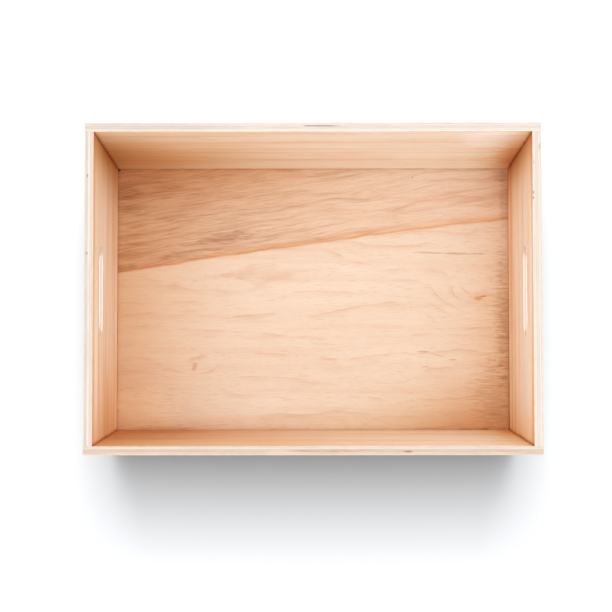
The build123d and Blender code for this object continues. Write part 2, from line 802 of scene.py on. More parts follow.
@dataclass(frozen=True)
class Patch:
    """A place on a board with a middle and a reach, in millimetres.

    Attributes:
        along: Its middle along the board.
        across: Its middle across the board, or in depth where it lies on the rim.
        reach_along: Half its length.
        reach_across: Half its width.
    """

    along: float
    across: float
    reach_along: float
    reach_across: float


@dataclass(frozen=True)
class Mark(Patch):
    """A soft patch of another tone: a stain, a streak, a small knot, and in places painted light
    and shade.

    Attributes:
        stain: What the wood's colour is multiplied by.
        share: How much of the stain it takes.
        slant: How far it climbs for each millimetre along.
        ragged: How uneven its outline is.
        side: The surface that it lies on.
    """

    stain: Colour
    share: float = 1.0
    slant: float = 0.0
    ragged: float = 0.6
    side: Side = Side.INSIDE


@dataclass(frozen=True)
class Shade(Patch):
    """Painted shade, darkest at its middle in a corner, which at its reach has died away to a
    third.

    Attributes:
        depth: How deep the painted shade is at the corner.
        stain: What the wood's colour is multiplied by where the depth is 1.
        fall: How sharply it dies away: 1.5 fades slowly, 3 ends fairly clearly.
        ragged: How far it follows the grain: 0 is smooth, 3 ends in long streaks.
    """

    depth: float
    stain: Colour = (0.66, 0.42, 0.23)
    fall: float = 1.5
    ragged: float = 0.0


@dataclass(frozen=True)
class Knot(Patch):
    """A place that the grain runs round.

    Attributes:
        push: How far the grain is pushed aside, in millimetres.
    """

    push: float


@dataclass(frozen=True)
class HeartBand:
    """A band of brown heartwood that fills a face beyond a slanting line.

    Attributes:
        start: Where the line crosses the middle, across the board.
        slant: How far the line climbs for each millimetre along.
        bow: How far it bows out in the middle.
        bow_reach: How far from the middle, along the board, the bow ends.
        waver: How far the line wavers.
        grain_slant: How far the heartwood's own grain climbs for each millimetre along.
        curl: How far that grain curls.
        ripple: How far it ripples.
        far_end: Where, along the board, it has its far tone in full.
        near_end: Where it has its near tone in full.
        far_stain: Its tone at the high end, over the sapwood's.
        near_stain: Its tone at the low end.
        band_stain: The stain of its broad bands.
        gold: The tone between them.
        grey_stain: The stain of its smudges.
        thread_stain: The stain of its thin threads.
        seam_stain: The stain of the thin line between the two woods.
        glow_stain: The stain of the wood along that line.
    """

    start: float
    slant: float
    bow: float
    bow_reach: float = 155.0
    waver: float = 3.2
    grain_slant: float = 0.15
    curl: float = 9.0
    ripple: float = 1.8
    far_end: float = 95.0
    near_end: float = -150.0
    far_stain: Colour = (1.0, 0.94, 0.91)
    near_stain: Colour = (0.88, 0.74, 0.63)
    band_stain: Colour = (0.87, 0.75, 0.65)
    gold: Colour = (0.88, 0.66, 0.47)
    grey_stain: Colour = (0.74, 0.65, 0.60)
    thread_stain: Colour = (0.78, 0.64, 0.53)
    seam_stain: Colour = (0.86, 0.62, 0.42)
    glow_stain: Colour = (0.98, 0.80, 0.60)


@dataclass(frozen=True)
class Veneer:
    """The look of a board's faces.

    Attributes:
        pale: The lightest wood.
        body: The usual wood.
        warm: The tone of the broad streaks.
        line: The stain of the thin late-wood lines.
        figure: Strength of the broad, cloudy tones.
        streak: Strength of the broad streaks.
        streak_width: Their usual width.
        ring_gap: Usual distance between late-wood lines.
        ring: Strength of those lines.
        fleck: Strength of the short dark flecks.
        fleck_stain: Their stain.
        fibre: Strength of the fine fibre.
        fibre_stain: Its stain.
        worn_stain: The stain of wood that is worn by handling.
        seed: Moves the whole pattern.
        marks: What lies on this board alone.
        shades: Painted shade towards the corners and along the walls' feet, on the inner face.
        seam_dirt: How deep the dirt along the seams with other boards is.
        seam_stain: What the wood's colour is multiplied by there.
        seam_reach: How far from a seam it has died away to a third, in millimetres.
        knots: Where the grain runs round a knot, on the inner face.
        heart: A band of heartwood, where the inner face has one.
    """

    pale: Colour = (0.92, 0.76, 0.62)
    body: Colour = (0.87, 0.67, 0.51)
    warm: Colour = (0.82, 0.54, 0.34)
    line: Colour = (0.80, 0.62, 0.48)
    figure: float = 0.5
    streak: float = 0.35
    streak_width: float = 5.0
    ring_gap: float = 8.0
    ring: float = 0.35
    fleck: float = 0.4
    fleck_stain: Colour = (0.66, 0.47, 0.36)
    fibre: float = 0.5
    fibre_stain: Colour = (0.86, 0.76, 0.66)
    worn_stain: Colour = (0.82, 0.70, 0.58)
    seed: float = 0.0
    marks: tuple[Mark, ...] = ()
    shades: tuple[Shade, ...] = ()
    seam_dirt: float = 1.1
    seam_stain: Colour = (0.68, 0.42, 0.22)
    seam_reach: float = 1.2
    knots: tuple[Knot, ...] = ()
    heart: HeartBand | None = None


@dataclass(frozen=True)
class PlyEdge:
    """The look of a board's sawn edges.

    Attributes:
        rim: The plies' tones on the rim, from the inner face to the outer.
        sill: Their tones inside an opening.
        long_grain: The tone of a ply that shows its length on an upright end.
        end_grain: The tone of a ply that shows its end there.
        drift_stain: The stain of the cloudy, darker places.
        fibre_stain: The stain of the sawn fibre.
        glue: The stain of the glue lines.
        gap: The painted shade inside a core gap or chip.
    """

    rim: tuple[Colour, ...] = (
        (0.81, 0.78, 0.71),
        (0.69, 0.61, 0.55),
        (0.69, 0.57, 0.49),
        (0.72, 0.63, 0.56),
        (0.70, 0.60, 0.51),
    )
    sill: tuple[Colour, ...] = (
        (0.95, 0.97, 0.98),
        (0.82, 0.66, 0.53),
        (0.95, 0.97, 0.98),
        (0.82, 0.63, 0.48),
        (0.90, 0.86, 0.80),
    )
    long_grain: Colour = (0.78, 0.68, 0.57)
    end_grain: Colour = (0.62, 0.48, 0.37)
    drift_stain: Colour = (0.90, 0.83, 0.78)
    fibre_stain: Colour = (0.80, 0.70, 0.62)
    glue: Colour = (0.72, 0.58, 0.46)
    gap: Colour = (0.30, 0.15, 0.08)


@dataclass(frozen=True)
class BoardFrame:
    """Which way a board's measures run, in the box's frame.

    Attributes:
        along: Direction of the face grain.
        across: Direction across it.
        depth: Direction from the inner face to the outer face.
        depth_start: Where the inner face lies on that direction, in millimetres.
        thickness: Of the board, in millimetres.
        top: Its highest measure across.
        reach: Where its side seams lie along it, at the top.
        foot: Where its lower seam lies across it.
        narrowing: How much nearer the side seams lie for each millimetre down.
    """

    along: Vector
    across: Vector
    depth: Vector
    depth_start: float
    thickness: float
    top: float
    reach: float
    foot: float
    narrowing: float = 0.0


class PlywoodFinish:
    """Bare, sanded five-ply board, coloured through its whole thickness."""

    # Where sawn wood becomes an opening's, in millimetres below the rim and off the ends.
    RIM_ZONE = (5.0, 9.0)
    END_ZONE = (9.0, 12.0)
    # How far the plies' seams waver, and where a glue line fades, in board thicknesses.
    SEAM_WAVER = 0.05
    GLUE_LINE = (0.022, 0.004)
    # How far the pattern moves from one ply to the next.
    PLY_SHIFT = 7.3
    # How far the late-wood lines wander, in millimetres, and shake, in their own gaps.
    RING_WANDER = 52.0
    RING_SHAKE = 0.32
    # How far the unevenness moves the outline of a mark that is fully ragged.
    MARK_RAGGEDNESS = 2.6

    def __init__(self, name: str, lie: BoardFrame, veneer: Veneer, edge: PlyEdge) -> None:
        """Prepare the measures that the pattern is drawn on.

        Args:
            name: The material's name.
            lie: How the board lies.
            veneer: The look of its faces.
            edge: The look of its sawn edges.
        """
        self.material, self.w = new_material(name)
        self.veneer = veneer
        self.edge = edge
        place = self.w.node("ShaderNodeTexCoord")
        spot, facing = place.outputs["Object"], place.outputs["Normal"]
        self.along = self.w.measure(spot, lie.along / MM)
        self.across = self.w.measure(spot, lie.across / MM)
        self.depth = self.w.measure(spot, lie.depth / MM, lie.depth_start)
        self.face = self.w.measure(facing, lie.depth).size().rise(0.55, 0.9)
        self.rim = self.w.measure(facing, lie.across).rise(0.55, 0.9)
        along_turn = self.w.measure(facing, lie.along).size()
        across_turn = self.w.measure(facing, lie.across).size()
        self.end_face = along_turn.rise(0.5, 0.8)
        below_rim = self.across.rise(*(lie.top - off for off in self.RIM_ZONE))
        off_ends = self.along.size().rise(*(lie.reach - off for off in self.END_ZONE))
        self.opened = below_rim * off_ends
        down = lie.top - self.across
        side = (lie.reach - down * lie.narrowing - self.along.size()).size()
        self.crevice = side.least((self.across - lie.foot).size())
        if lie.foot < 0.0:
            self.crevice = self.crevice.least(down.size())
        crossed = self._sort_plies(lie.thickness)
        self.grain = self.along.toward(self.across, crossed)
        self.side_grain = self.across.toward(self.along, crossed)
        self.endness = along_turn.toward(across_turn, crossed).rise(0.4, 0.9)
        self.inside = self.ply.rise(0.6, 0.4)
        self.shift = self.ply * self.PLY_SHIFT + veneer.seed

    def _sort_plies(self, thickness: float) -> Signal:
        """Number the plies, draw their glue lines, and tell which plies lie crossed.

        Args:
            thickness: The board's thickness, in millimetres.

        Returns:
            1 in the crossed plies and 0 in the others.
        """
        waver = self._flat(22.0, 22.0, 0.3, detail=1.0)
        layer = self.depth / thickness + (waver - 0.5) * self.SEAM_WAVER
        self.ply = self.w.math("ADD", 0.0, 0.0)
        self.glue = self.w.math("ADD", 0.0, 0.0)
        for seam in PLY_SEAMS:
            self.ply = self.ply + self.w.math("GREATER_THAN", layer, seam)
            self.glue = self.glue.most((layer - seam).size().rise(*self.GLUE_LINE))
        return (self.ply * 0.5).fraction() * 2.0

    def _grained(self, length: float, width: float, shift: float, **layers: float) -> Signal:
        """Unevenness on the grain of each ply, so many millimetres long and wide."""
        return self.w.mottle(
            self.grain / length, self.side_grain / width, self.shift + shift, **layers
        )

    def _flat(self, length: float, width: float, shift: float, **layers: float) -> Signal:
        """Unevenness that is the same through the board, in millimetres."""
        return self.w.mottle(self.along / length, self.across / width, shift, **layers)

    def _solid(self, length: float, width: float, depth: float, **layers: float) -> Signal:
        """Unevenness that changes on every measure of the board, in millimetres."""
        return self.w.mottle(
            self.along / length, self.across / width, self.depth / depth, **layers
        )

    def _fibre(self) -> Signal:
        """Fine fibre, long on the grain and short across it.

        Returns:
            The fibre, from 0 to 1.
        """
        return self.w.mottle(
            self.grain / 9.0,
            self.side_grain / 0.55,
            self.depth / 0.5 + self.shift,
            detail=4.0,
            roughness=0.62,
        )

    def _rings(self) -> Signal:
        """Thin late-wood lines that follow a slowly warped grain.

        Returns:
            The lines, from 0 to 1.
        """
        gap = self.veneer.ring_gap
        warp = self._grained(95.0, 34.0, 3.1, detail=1.5)
        fine_warp = self._grained(17.0, 9.0, 9.4)
        field = self.side_grain / gap + warp * (self.RING_WANDER / gap)
        for knot in self.veneer.knots:
            run = (self.along - knot.along) / knot.reach_along
            rise = (self.across - knot.across) / knot.reach_across
            push = (run * run + rise * rise).faded() * self.inside
            field = field + push * (knot.push / gap)
        place = (field + fine_warp * self.RING_SHAKE).fraction()
        fade = self._grained(30.0, 12.0, 5.7)
        line = place.rise(0.50, 0.93) * 0.55 + place.rise(0.84, 0.95) * 0.45
        return line * place.rise(1.0, 0.95) * fade.rise(0.38, 0.64)

    def _flecks(self) -> Signal:
        """Short dark flecks along the grain.

        Returns:
            The flecks, from 0 to 1.
        """
        dash = self._grained(3.6, 0.42, 1.9, detail=0.0)
        patches = self._grained(26.0, 16.0, 8.8)
        return dash.rise(0.70, 0.84) * patches.rise(0.42, 0.62)

    def _mark_cover(self, mark: Mark, ragged: Signal) -> Signal:
        """How much of a mark covers each place.

        Args:
            mark: The mark.
            ragged: The unevenness of its outline.

        Returns:
            The cover, from 0 to 1.
        """
        on_rim = mark.side is Side.RIM
        run = (self.along - mark.along) / mark.reach_along
        climb = (self.along - mark.along) * mark.slant
        measure = self.depth if on_rim else self.across
        rise = (measure - mark.across - climb) / mark.reach_across
        uneven = (ragged - 0.5) * (self.MARK_RAGGEDNESS * mark.ragged)
        surface = self.rim if on_rim else self.inside * self.face
        return (run * run + rise * rise + uneven).rise(1.3, -0.1) * surface * mark.share

    def _painted_shade_and_seam_dirt(self, wood: Tint) -> Tint:
        """Lay painted shade towards the corners, and the dirt along the seams, over the inner
        face.

        Args:
            wood: The wood so far.

        Returns:
            The wood with its painted shade and seam dirt.
        """
        look = self.veneer
        cover = self.inside * self.face
        streaks = self._flat(13.0, 1.5, 8.2, detail=3.0, roughness=0.66)
        # Painted shade towards the corners and along the walls' feet.
        for shade in look.shades:
            off = (self.along - shade.along).size() / shade.reach_along
            if shade.ragged:
                off = (off * ((streaks - 0.5) * shade.ragged + 1.0)).size()
            run = off.raised(shade.fall)
            rise = ((self.across - shade.across).size() / shade.reach_across).raised(shade.fall)
            depth = (run + rise).faded() * shade.depth
            wood = wood.darkened_by_shade_and_dirt(shade.stain, depth * cover)
        uneven = self._flat(14.0, 14.0, 6.6, detail=2.0).rise(0.25, 0.7) + 0.5
        depth = (self.crevice / look.seam_reach).raised(1.5).faded() * uneven
        return wood.darkened_by_shade_and_dirt(look.seam_stain, depth * cover * look.seam_dirt)

    def _heartwood(self, wood: Tint, band: HeartBand, fibre: Signal) -> Tint:
        """Lay a band of heartwood over the inner face.

        Args:
            wood: The wood so far.
            band: The band.
            fibre: The fine fibre.

        Returns:
            The wood with its heartwood.
        """
        w = self.w
        run = self.along / band.bow_reach
        line = self.along * band.slant + (1.0 - run * run) * band.bow + band.start
        waver = (self._flat(26.0, 30.0, 4.4, detail=2.0) - 0.5) * band.waver
        beyond = self.across - line + waver
        inside = self.inside * self.face
        cover = beyond.rise(-0.9, 0.9) * inside

        curl = self._flat(62.0, 30.0, 21.0, detail=1.0) * band.curl
        ripple = self._flat(19.0, 8.0, 23.0, detail=1.0) * band.ripple
        level = self.across - self.along * band.grain_slant + curl + ripple
        threads = w.mottle(self.along / 26.0, level / 0.95, 13.0, detail=3.0, roughness=0.66)
        bands = w.mottle(self.along / 85.0, level / 4.6, 17.0, detail=3.0, roughness=0.6)
        smudges = w.mottle(self.along / 48.0, level / 5.5, 29.0, detail=4.0, roughness=0.6)
        strayed = (self._flat(45.0, 40.0, 2.0, detail=1.0) - 0.5) * 70.0
        nearness = (self.along + strayed).rise(band.far_end, band.near_end)

        wood = wood.stained(Tint(w, band.far_stain).toward(band.near_stain, nearness), cover)
        banded = bands.rise(0.48, 0.68) * (nearness * 0.3 + 0.7)
        wood = wood.stained(band.band_stain, banded * cover)
        wood = wood.toward(band.gold, bands.rise(0.48, 0.30) * cover * 0.4)
        grey = smudges.rise(0.54, 0.74) * (nearness * 0.5 + 0.3)
        wood = wood.stained(band.grey_stain, grey * cover)
        thread = threads.rise(0.45, 0.68) * (nearness * 0.60 + 0.32)
        wood = wood.stained(band.thread_stain, thread * cover)
        thin = (beyond - 0.4).size().rise(1.4, 0.1) * (fibre * 0.6 + 0.5)
        wood = wood.stained(band.seam_stain, thin.clipped() * inside * 0.7)
        glow = (beyond - 1.6).size().rise(4.4, 0.2)
        return wood.stained(band.glow_stain, glow * inside * 0.75)

    def _face_wood(self, fibre: Signal, rings: Signal, flecks: Signal) -> Tint:
        """The colour of the broad faces.

        Args:
            fibre: The fine fibre.
            rings: The late-wood lines.
            flecks: The dark flecks.

        Returns:
            The colour.
        """
        look = self.veneer
        clouds = self._grained(110.0, 24.0, 2.2, detail=3.0)
        ribbon = self._grained(190.0, look.streak_width, 6.1, detail=3.0, roughness=0.62)
        wood = Tint(self.w, look.body)
        wood = wood.toward(look.pale, clouds.rise(0.36, 0.64) * look.figure)
        wood = wood.toward(look.warm, ribbon.rise(0.47, 0.68) * look.streak)
        wood = wood.toward(look.pale, ribbon.rise(0.46, 0.30) * look.streak * 0.7)
        if look.heart is not None:
            wood = self._heartwood(wood, look.heart, fibre)
        wood = wood.stained(look.line, rings * look.ring)
        wood = wood.stained(look.fibre_stain, fibre.rise(0.50, 0.78) * look.fibre)
        return wood.stained(look.fleck_stain, flecks * look.fleck)

    def _by_ply(self, tones: Sequence[Colour]) -> Tint:
        """One tone for each ply.

        Args:
            tones: The tones, from the inner face to the outer.

        Returns:
            The tone at each place.
        """
        ramp = self.w.node("ShaderNodeValToRGB", {0: (self.ply + 0.5) / len(tones)})
        stops = ramp.color_ramp.elements
        ramp.color_ramp.interpolation = "CONSTANT"
        while len(stops) < len(tones):
            stops.new(1.0)
        for number, tone in enumerate(tones):
            stops[number].position = number / len(tones)
            stops[number].color = (*tone, 1.0)
        return Tint(self.w, ramp.outputs[0])

    def _edge_wood(self, fibre: Signal) -> Tint:
        """The colour of the sawn edges, ply by ply.

        Args:
            fibre: The fine fibre.

        Returns:
            The colour.
        """
        look = self.edge
        upright = Tint(self.w, look.long_grain).toward(look.end_grain, self.endness)
        wood = self._by_ply(look.rim).toward(upright, self.end_face)
        drift = self._grained(34.0, 34.0, 0.0, detail=2.0)
        wood = wood.toward(look.long_grain, drift.rise(0.5, 0.7) * 0.3)
        wood = wood.stained(look.drift_stain, drift.rise(0.5, 0.28) * 0.5)
        wood = wood.toward(self._by_ply(look.sill), self.opened * (1.0 - self.end_face))
        wood = wood.stained(look.fibre_stain, fibre.rise(0.48, 0.8) * 0.5)
        return wood.stained(look.glue, self.glue * 0.7)

    def _carried(self, name: str) -> Signal:
        """A number that the mesh carries at each of its points."""
        attribute = self.w.node("ShaderNodeAttribute", attribute_name=name)
        return Signal(self.w, attribute.outputs["Fac"])

    def build(self) -> bpy.types.Material:
        """Wire the whole finish.

        Returns:
            The material.
        """
        fibre, rings, flecks = self._fibre(), self._rings(), self._flecks()
        wood = self._edge_wood(fibre).toward(self._face_wood(fibre, rings, flecks), self.face)
        ragged = self._solid(9.0, 1.5, 1.0, detail=4.0, roughness=0.62)
        for mark in self.veneer.marks:
            wood = wood.stained(mark.stain, self._mark_cover(mark, ragged))
        wood = self._painted_shade_and_seam_dirt(wood)
        grime = self._solid(6.0, 6.0, 3.0, detail=3.0).rise(0.30, 0.66)
        wood = wood.stained(self.veneer.worn_stain, self._carried("wear") * grime)
        # Painted shade inside the gaps and chips, deeper where they bite deeper.
        wood = wood.toward(self.edge.gap, self._carried("gap").clipped())

        sawn = 1.0 - self.face
        saw_marks = self._solid(0.8, 0.8, 0.35, detail=2.0)
        height = fibre * 0.5 + rings * 0.25 - flecks * 0.9 + saw_marks * sawn * 1.6
        dullness = 0.60 - fibre * 0.12 + sawn * 0.18 + flecks * 0.1
        self.w.surface(
            "ShaderNodeBsdfPrincipled",
            {
                "Base Color": wood,
                "Roughness": dullness.clipped(),
                "Specular IOR Level": 0.32,
                "Normal": self.w.relief(height, 0.7, 0.045),
            },
        )
        return self.material


@dataclass(frozen=True)
class SteelFinish:
    """Plain drawn steel wire, a little dulled.

    Attributes:
        name: The material's name.
        bright: The clean steel.
        dull: The dulled steel.
        patch: How wide the dulled patches are, in millimetres.
        scratch: How wide the drawing marks are.
    """

    name: str = "drawn_steel"
    bright: Colour = (0.62, 0.61, 0.58)
    dull: Colour = (0.36, 0.33, 0.29)
    patch: float = 0.5
    scratch: float = 0.08

    def build(self) -> bpy.types.Material:
        """Wire the finish.

        Returns:
            The material.
        """
        material, w = new_material(self.name)
        spot = w.node("ShaderNodeTexCoord").outputs["Object"]
        axes = (Vector((1, 0, 0)), Vector((0, 1, 0)), Vector((0, 0, 1)))
        place = [w.measure(spot, axis / MM) for axis in axes]
        patina = w.mottle(*(measure / self.patch for measure in place), detail=3.0)
        drawn = w.mottle(*(measure / self.scratch for measure in place), detail=1.0)
        w.surface(
            "ShaderNodeBsdfPrincipled",
            {
                "Base Color": Tint(w, self.bright).toward(self.dull, patina.rise(0.42, 0.68)),
                "Roughness": patina * 0.3 + 0.24,
                "Metallic": 1.0,
                "Normal": w.relief(drawn, 0.4, 0.01),
            },
        )
        return material


# Boards


@dataclass
class Board:
    """What all five boards share: how they are laid, worked and dressed.

    Attributes:
        sizes: The box's sizes.
        brads: The brads' sizes.
        name: The piece's name.
        node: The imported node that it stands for.
        veneer: The look of its faces.
        work: How its edges are worked.
        edge: The look of its sawn edges.
    """

    sizes: BoxSizes
    brads: BradSizes
    name: str
    node: str
    veneer: Veneer
    work: EdgeWork
    edge: PlyEdge = PlyEdge()

    # The widest spacing of the grid lines, in millimetres.
    STEP_ALONG = 2.2
    STEP_ACROSS = 2.6
    # The shortest waves of the edges' roughness, of their swelling and of a chip's
    # outline, and how much finer the sawn grain is than the roughness.
    ROUGHNESS = (3.5, 3.5, 3.5)
    SWELLING = (16.0, 16.0, 9.0)
    CHIP_OUTLINE = (2.6, 2.6, 0.9)
    FINER = (2.0, 2.0, 6.0)
    # How full a chip is in its middle, and how ragged its outline.
    CHIP_FULL = 1.2
    CHIP_RAGGED = 0.35
    # How worn an arris is and how far in, and how deep and how far round a pinhole.
    ARRIS_WEAR = 0.5
    ARRIS_REACH = 0.5
    HOLE_DEPTH = 1.0
    HOLE_REACH = 0.25
    # Painted shade inside a gap or chip: how dark it is for each millimetre of its depth, and at
    # most.
    GAP_DARKENING = 2.5
    GAP_DARKEST = 0.9
    # The angle from which an edge is sharp, in degrees.
    SHARP = 50.0
    # A pinhole's easing, the face round it, its grid, and its depth past the head's top.
    POCKET_FLARE = 0.08
    POCKET_MARGIN = 1.0
    POCKET_STEP = 0.98
    POCKET_SPARE = 0.1

    def lie(self) -> BoardFrame:
        """Which way the board's measures run."""
        raise NotImplementedError

    def span(self) -> tuple[Corner, Corner]:
        """The board's lowest and highest measures."""
        raise NotImplementedError

    def openings(self) -> list[Opening]:
        """Holes and pockets in its broad faces."""
        return []

    def place(self, points: np.ndarray) -> np.ndarray:
        """Move points from the board's measures into the box's frame."""
        raise NotImplementedError

    def against(self, points: np.ndarray) -> np.ndarray:
        """How far each place lies against another board, from 0 to 1."""
        raise NotImplementedError

    def brad_pocket(self, along: float, across: float) -> Opening:
        """The pinhole over a sunk brad.

        Args:
            along: Its place along the board.
            across: Its place across it.

        Returns:
            The pocket.
        """
        return Opening(
            along=along,
            across=across,
            half_run=0.0,
            radius=self.brads.hole_radius,
            flare=self.POCKET_FLARE,
            margin=self.POCKET_MARGIN,
            step=self.POCKET_STEP,
            pocket=self.brads.sink + self.POCKET_SPARE,
        )

    def _worked(self, points: np.ndarray, low: np.ndarray, high: np.ndarray) -> np.ndarray:
        """Ease and chip the edges, and let the plies stand out a little.

        Args:
            points: In the board's measures, one to a row.
            low: The board's lowest measures.
            high: Its highest measures.

        Returns:
            The moved points.
        """
        work = self.work
        rough = Unevenness(work.seed, self.ROUGHNESS, waves=14)
        swelling = Unevenness(work.seed + 50, self.SWELLING)
        along, across, depth = points.T
        nicks = np.clip(rough.at(along, across, depth) - work.nick_start, 0.0, work.nick_most)
        swollen = 1.0 + work.swell * swelling.at(along, across, depth)
        open_edge = work.easing * swollen + nicks * work.nick_easing
        seam = self.against(points)
        radius = open_edge * (1.0 - seam) + work.seam_easing * seam
        radius = np.clip(radius, work.least_easing, work.most_easing)
        moved = ease_edges(points, low, high, np.repeat(radius[:, None], 3, axis=1))

        share = (depth - low[2]) / (high[2] - low[2])
        crossed = np.searchsorted(PLY_SEAMS, share) % 2
        grainy = np.clip(0.5 + 0.5 * rough.at(*(points * self.FINER).T), 0.0, 1.0)
        grainy = grainy * work.grain_step
        back = {0: work.ply_step * (1 - crossed) + grainy, 1: work.ply_step * crossed + grainy}
        bite = {0: 0.0, 1: self._bite(points, high)}
        for axis in (0, 1):
            at_high = np.isclose(points[:, axis], high[axis])
            at_low = np.isclose(points[:, axis], low[axis])
            moved[at_high, axis] -= (back[axis] + bite[axis])[at_high]
            moved[at_low, axis] += back[axis][at_low]
        return moved

    def _bite(self, points: np.ndarray, high: np.ndarray) -> np.ndarray:
        """How deep the chips and gaps go at each point of the upper edge.

        Args:
            points: In the board's measures, one to a row.
            high: Its highest measures.

        Returns:
            The depth at each point, in millimetres.
        """
        along, across, depth = points.T
        ragged = Unevenness(self.work.seed + 90, self.CHIP_OUTLINE, waves=12)
        wobble = ragged.at(along, across, depth)
        bite = np.zeros(len(points))
        for chip in self.work.chips:
            run = (along - chip.along) / chip.reach_along
            rise = (depth - chip.depth) / chip.reach_depth
            outline = self.CHIP_FULL - run**4 - rise**2 + self.CHIP_RAGGED * wobble
            inside = np.clip(outline, 0.0, 1.0)
            bite = np.maximum(bite, chip.bite * inside)
        return np.where(np.isclose(across, high[1]), bite, 0.0)

    def _wear(self, points: np.ndarray, low: np.ndarray, high: np.ndarray) -> np.ndarray:
        """Handling wear, strongest on the arrises and round the pinholes.

        Args:
            points: In the board's measures, one to a row.
            low: The board's lowest measures.
            high: Its highest measures.

        Returns:
            The wear at each point, from 0 to 1.
        """
        ends = np.minimum(points - low, high - points)
        second = np.sort(ends, axis=1)[:, 1]
        wear = self.ARRIS_WEAR * np.exp(-second / self.ARRIS_REACH)
        near = points[:, 2] > high[2] - self.HOLE_DEPTH
        for hole in self.openings():
            if hole.pocket is not None:
                off = np.hypot(points[:, 0] - hole.along, points[:, 1] - hole.across)
                off = np.clip(off - hole.radius, 0, None)
                wear = np.maximum(wear, near * np.exp(-off / self.HOLE_REACH))
        return wear

    def build(self) -> bpy.types.Object:
        """Make the board and dress it.

        Returns:
            The finished board.
        """
        low, high = (np.array(corner, float) for corner in self.span())
        skin = BoardMesh(low, high, self.openings(), self.STEP_ALONG, self.STEP_ACROSS)
        points, faces = skin.skin()
        placed = self.place(self._worked(points, low, high)) * MM
        placed = np.clip(placed, *(np.array(corner) for corner in cad_bounds))
        mesh = bpy.data.meshes.new(self.name)
        mesh.from_pydata(placed.tolist(), [], faces)
        darkened = np.clip(self._bite(points, high) * self.GAP_DARKENING, 0.0, self.GAP_DARKEST)
        for title, values in (("wear", self._wear(points, low, high)), ("gap", darkened)):
            layer = mesh.attributes.new(title, "FLOAT", "POINT")
            layer.data.foreach_set("value", values.astype(np.float32))
        round_off(mesh, self.SHARP)
        piece = add_object(self.name, mesh)
        finish = PlywoodFinish(f"{self.name}_ply", self.lie(), self.veneer, self.edge)
        mesh.materials.append(finish.build())
        hand_in(piece, self.node)
        return piece


@dataclass
class LongWall(Board):
    """A long wall, which runs the full length and leans out towards the rim."""

    hand: Hand = Hand.POSITIVE
    seam_reach: float = 0.2

    def lie(self) -> BoardFrame:
        """Which way the board's measures run.

        Returns:
            The directions and the places of its seams.
        """
        s = self.sizes
        return BoardFrame(
            along=Vector((1, 0, 0)),
            across=Vector((0, 0, 1)),
            depth=Vector((0.0, self.hand.value * math.cos(s.lean), -math.sin(s.lean))),
            depth_start=s.foot_inner_y * math.cos(s.lean),
            thickness=s.thickness,
            top=s.height,
            reach=s.end_inner_x,
            foot=s.thickness,
        )

    def span(self) -> tuple[Corner, Corner]:
        """The board's lowest and highest measures."""
        s = self.sizes
        return (-s.half_length, 0.0, 0.0), (s.half_length, s.height, s.thickness)

    def openings(self) -> list[Opening]:
        """Pinholes at both corners and along the floor's edge.

        Returns:
            The pinholes.
        """
        s, b = self.sizes, self.brads
        heights = spread(s.thickness + b.corner_margin, s.height - b.corner_margin, b.corner_count)
        corner_x = s.half_length - s.thickness / 2
        pockets = [self.brad_pocket(x, z) for x in (-corner_x, corner_x) for z in heights]
        reach = s.half_length - b.floor_margin
        row = spread(-reach, reach, b.long_floor_count)
        return pockets + [self.brad_pocket(x, s.thickness / 2) for x in row]

    def place(self, points: np.ndarray) -> np.ndarray:
        """Move points from the board's measures into the box's frame.

        Args:
            points: In the board's measures, one to a row.

        Returns:
            The points in the box's frame, in millimetres.
        """
        along, across, depth = points.T
        out = self.sizes.inner_y(across) + depth / math.cos(self.sizes.lean)
        return np.column_stack([along, self.hand.value * out, across])

    def against(self, points: np.ndarray) -> np.ndarray:
        """How far each place lies against another board, from 0 to 1."""
        beyond = np.abs(points[:, 0]) > self.sizes.end_inner_x - self.seam_reach
        return (beyond & (points[:, 2] < self.sizes.thickness / 2)).astype(float)


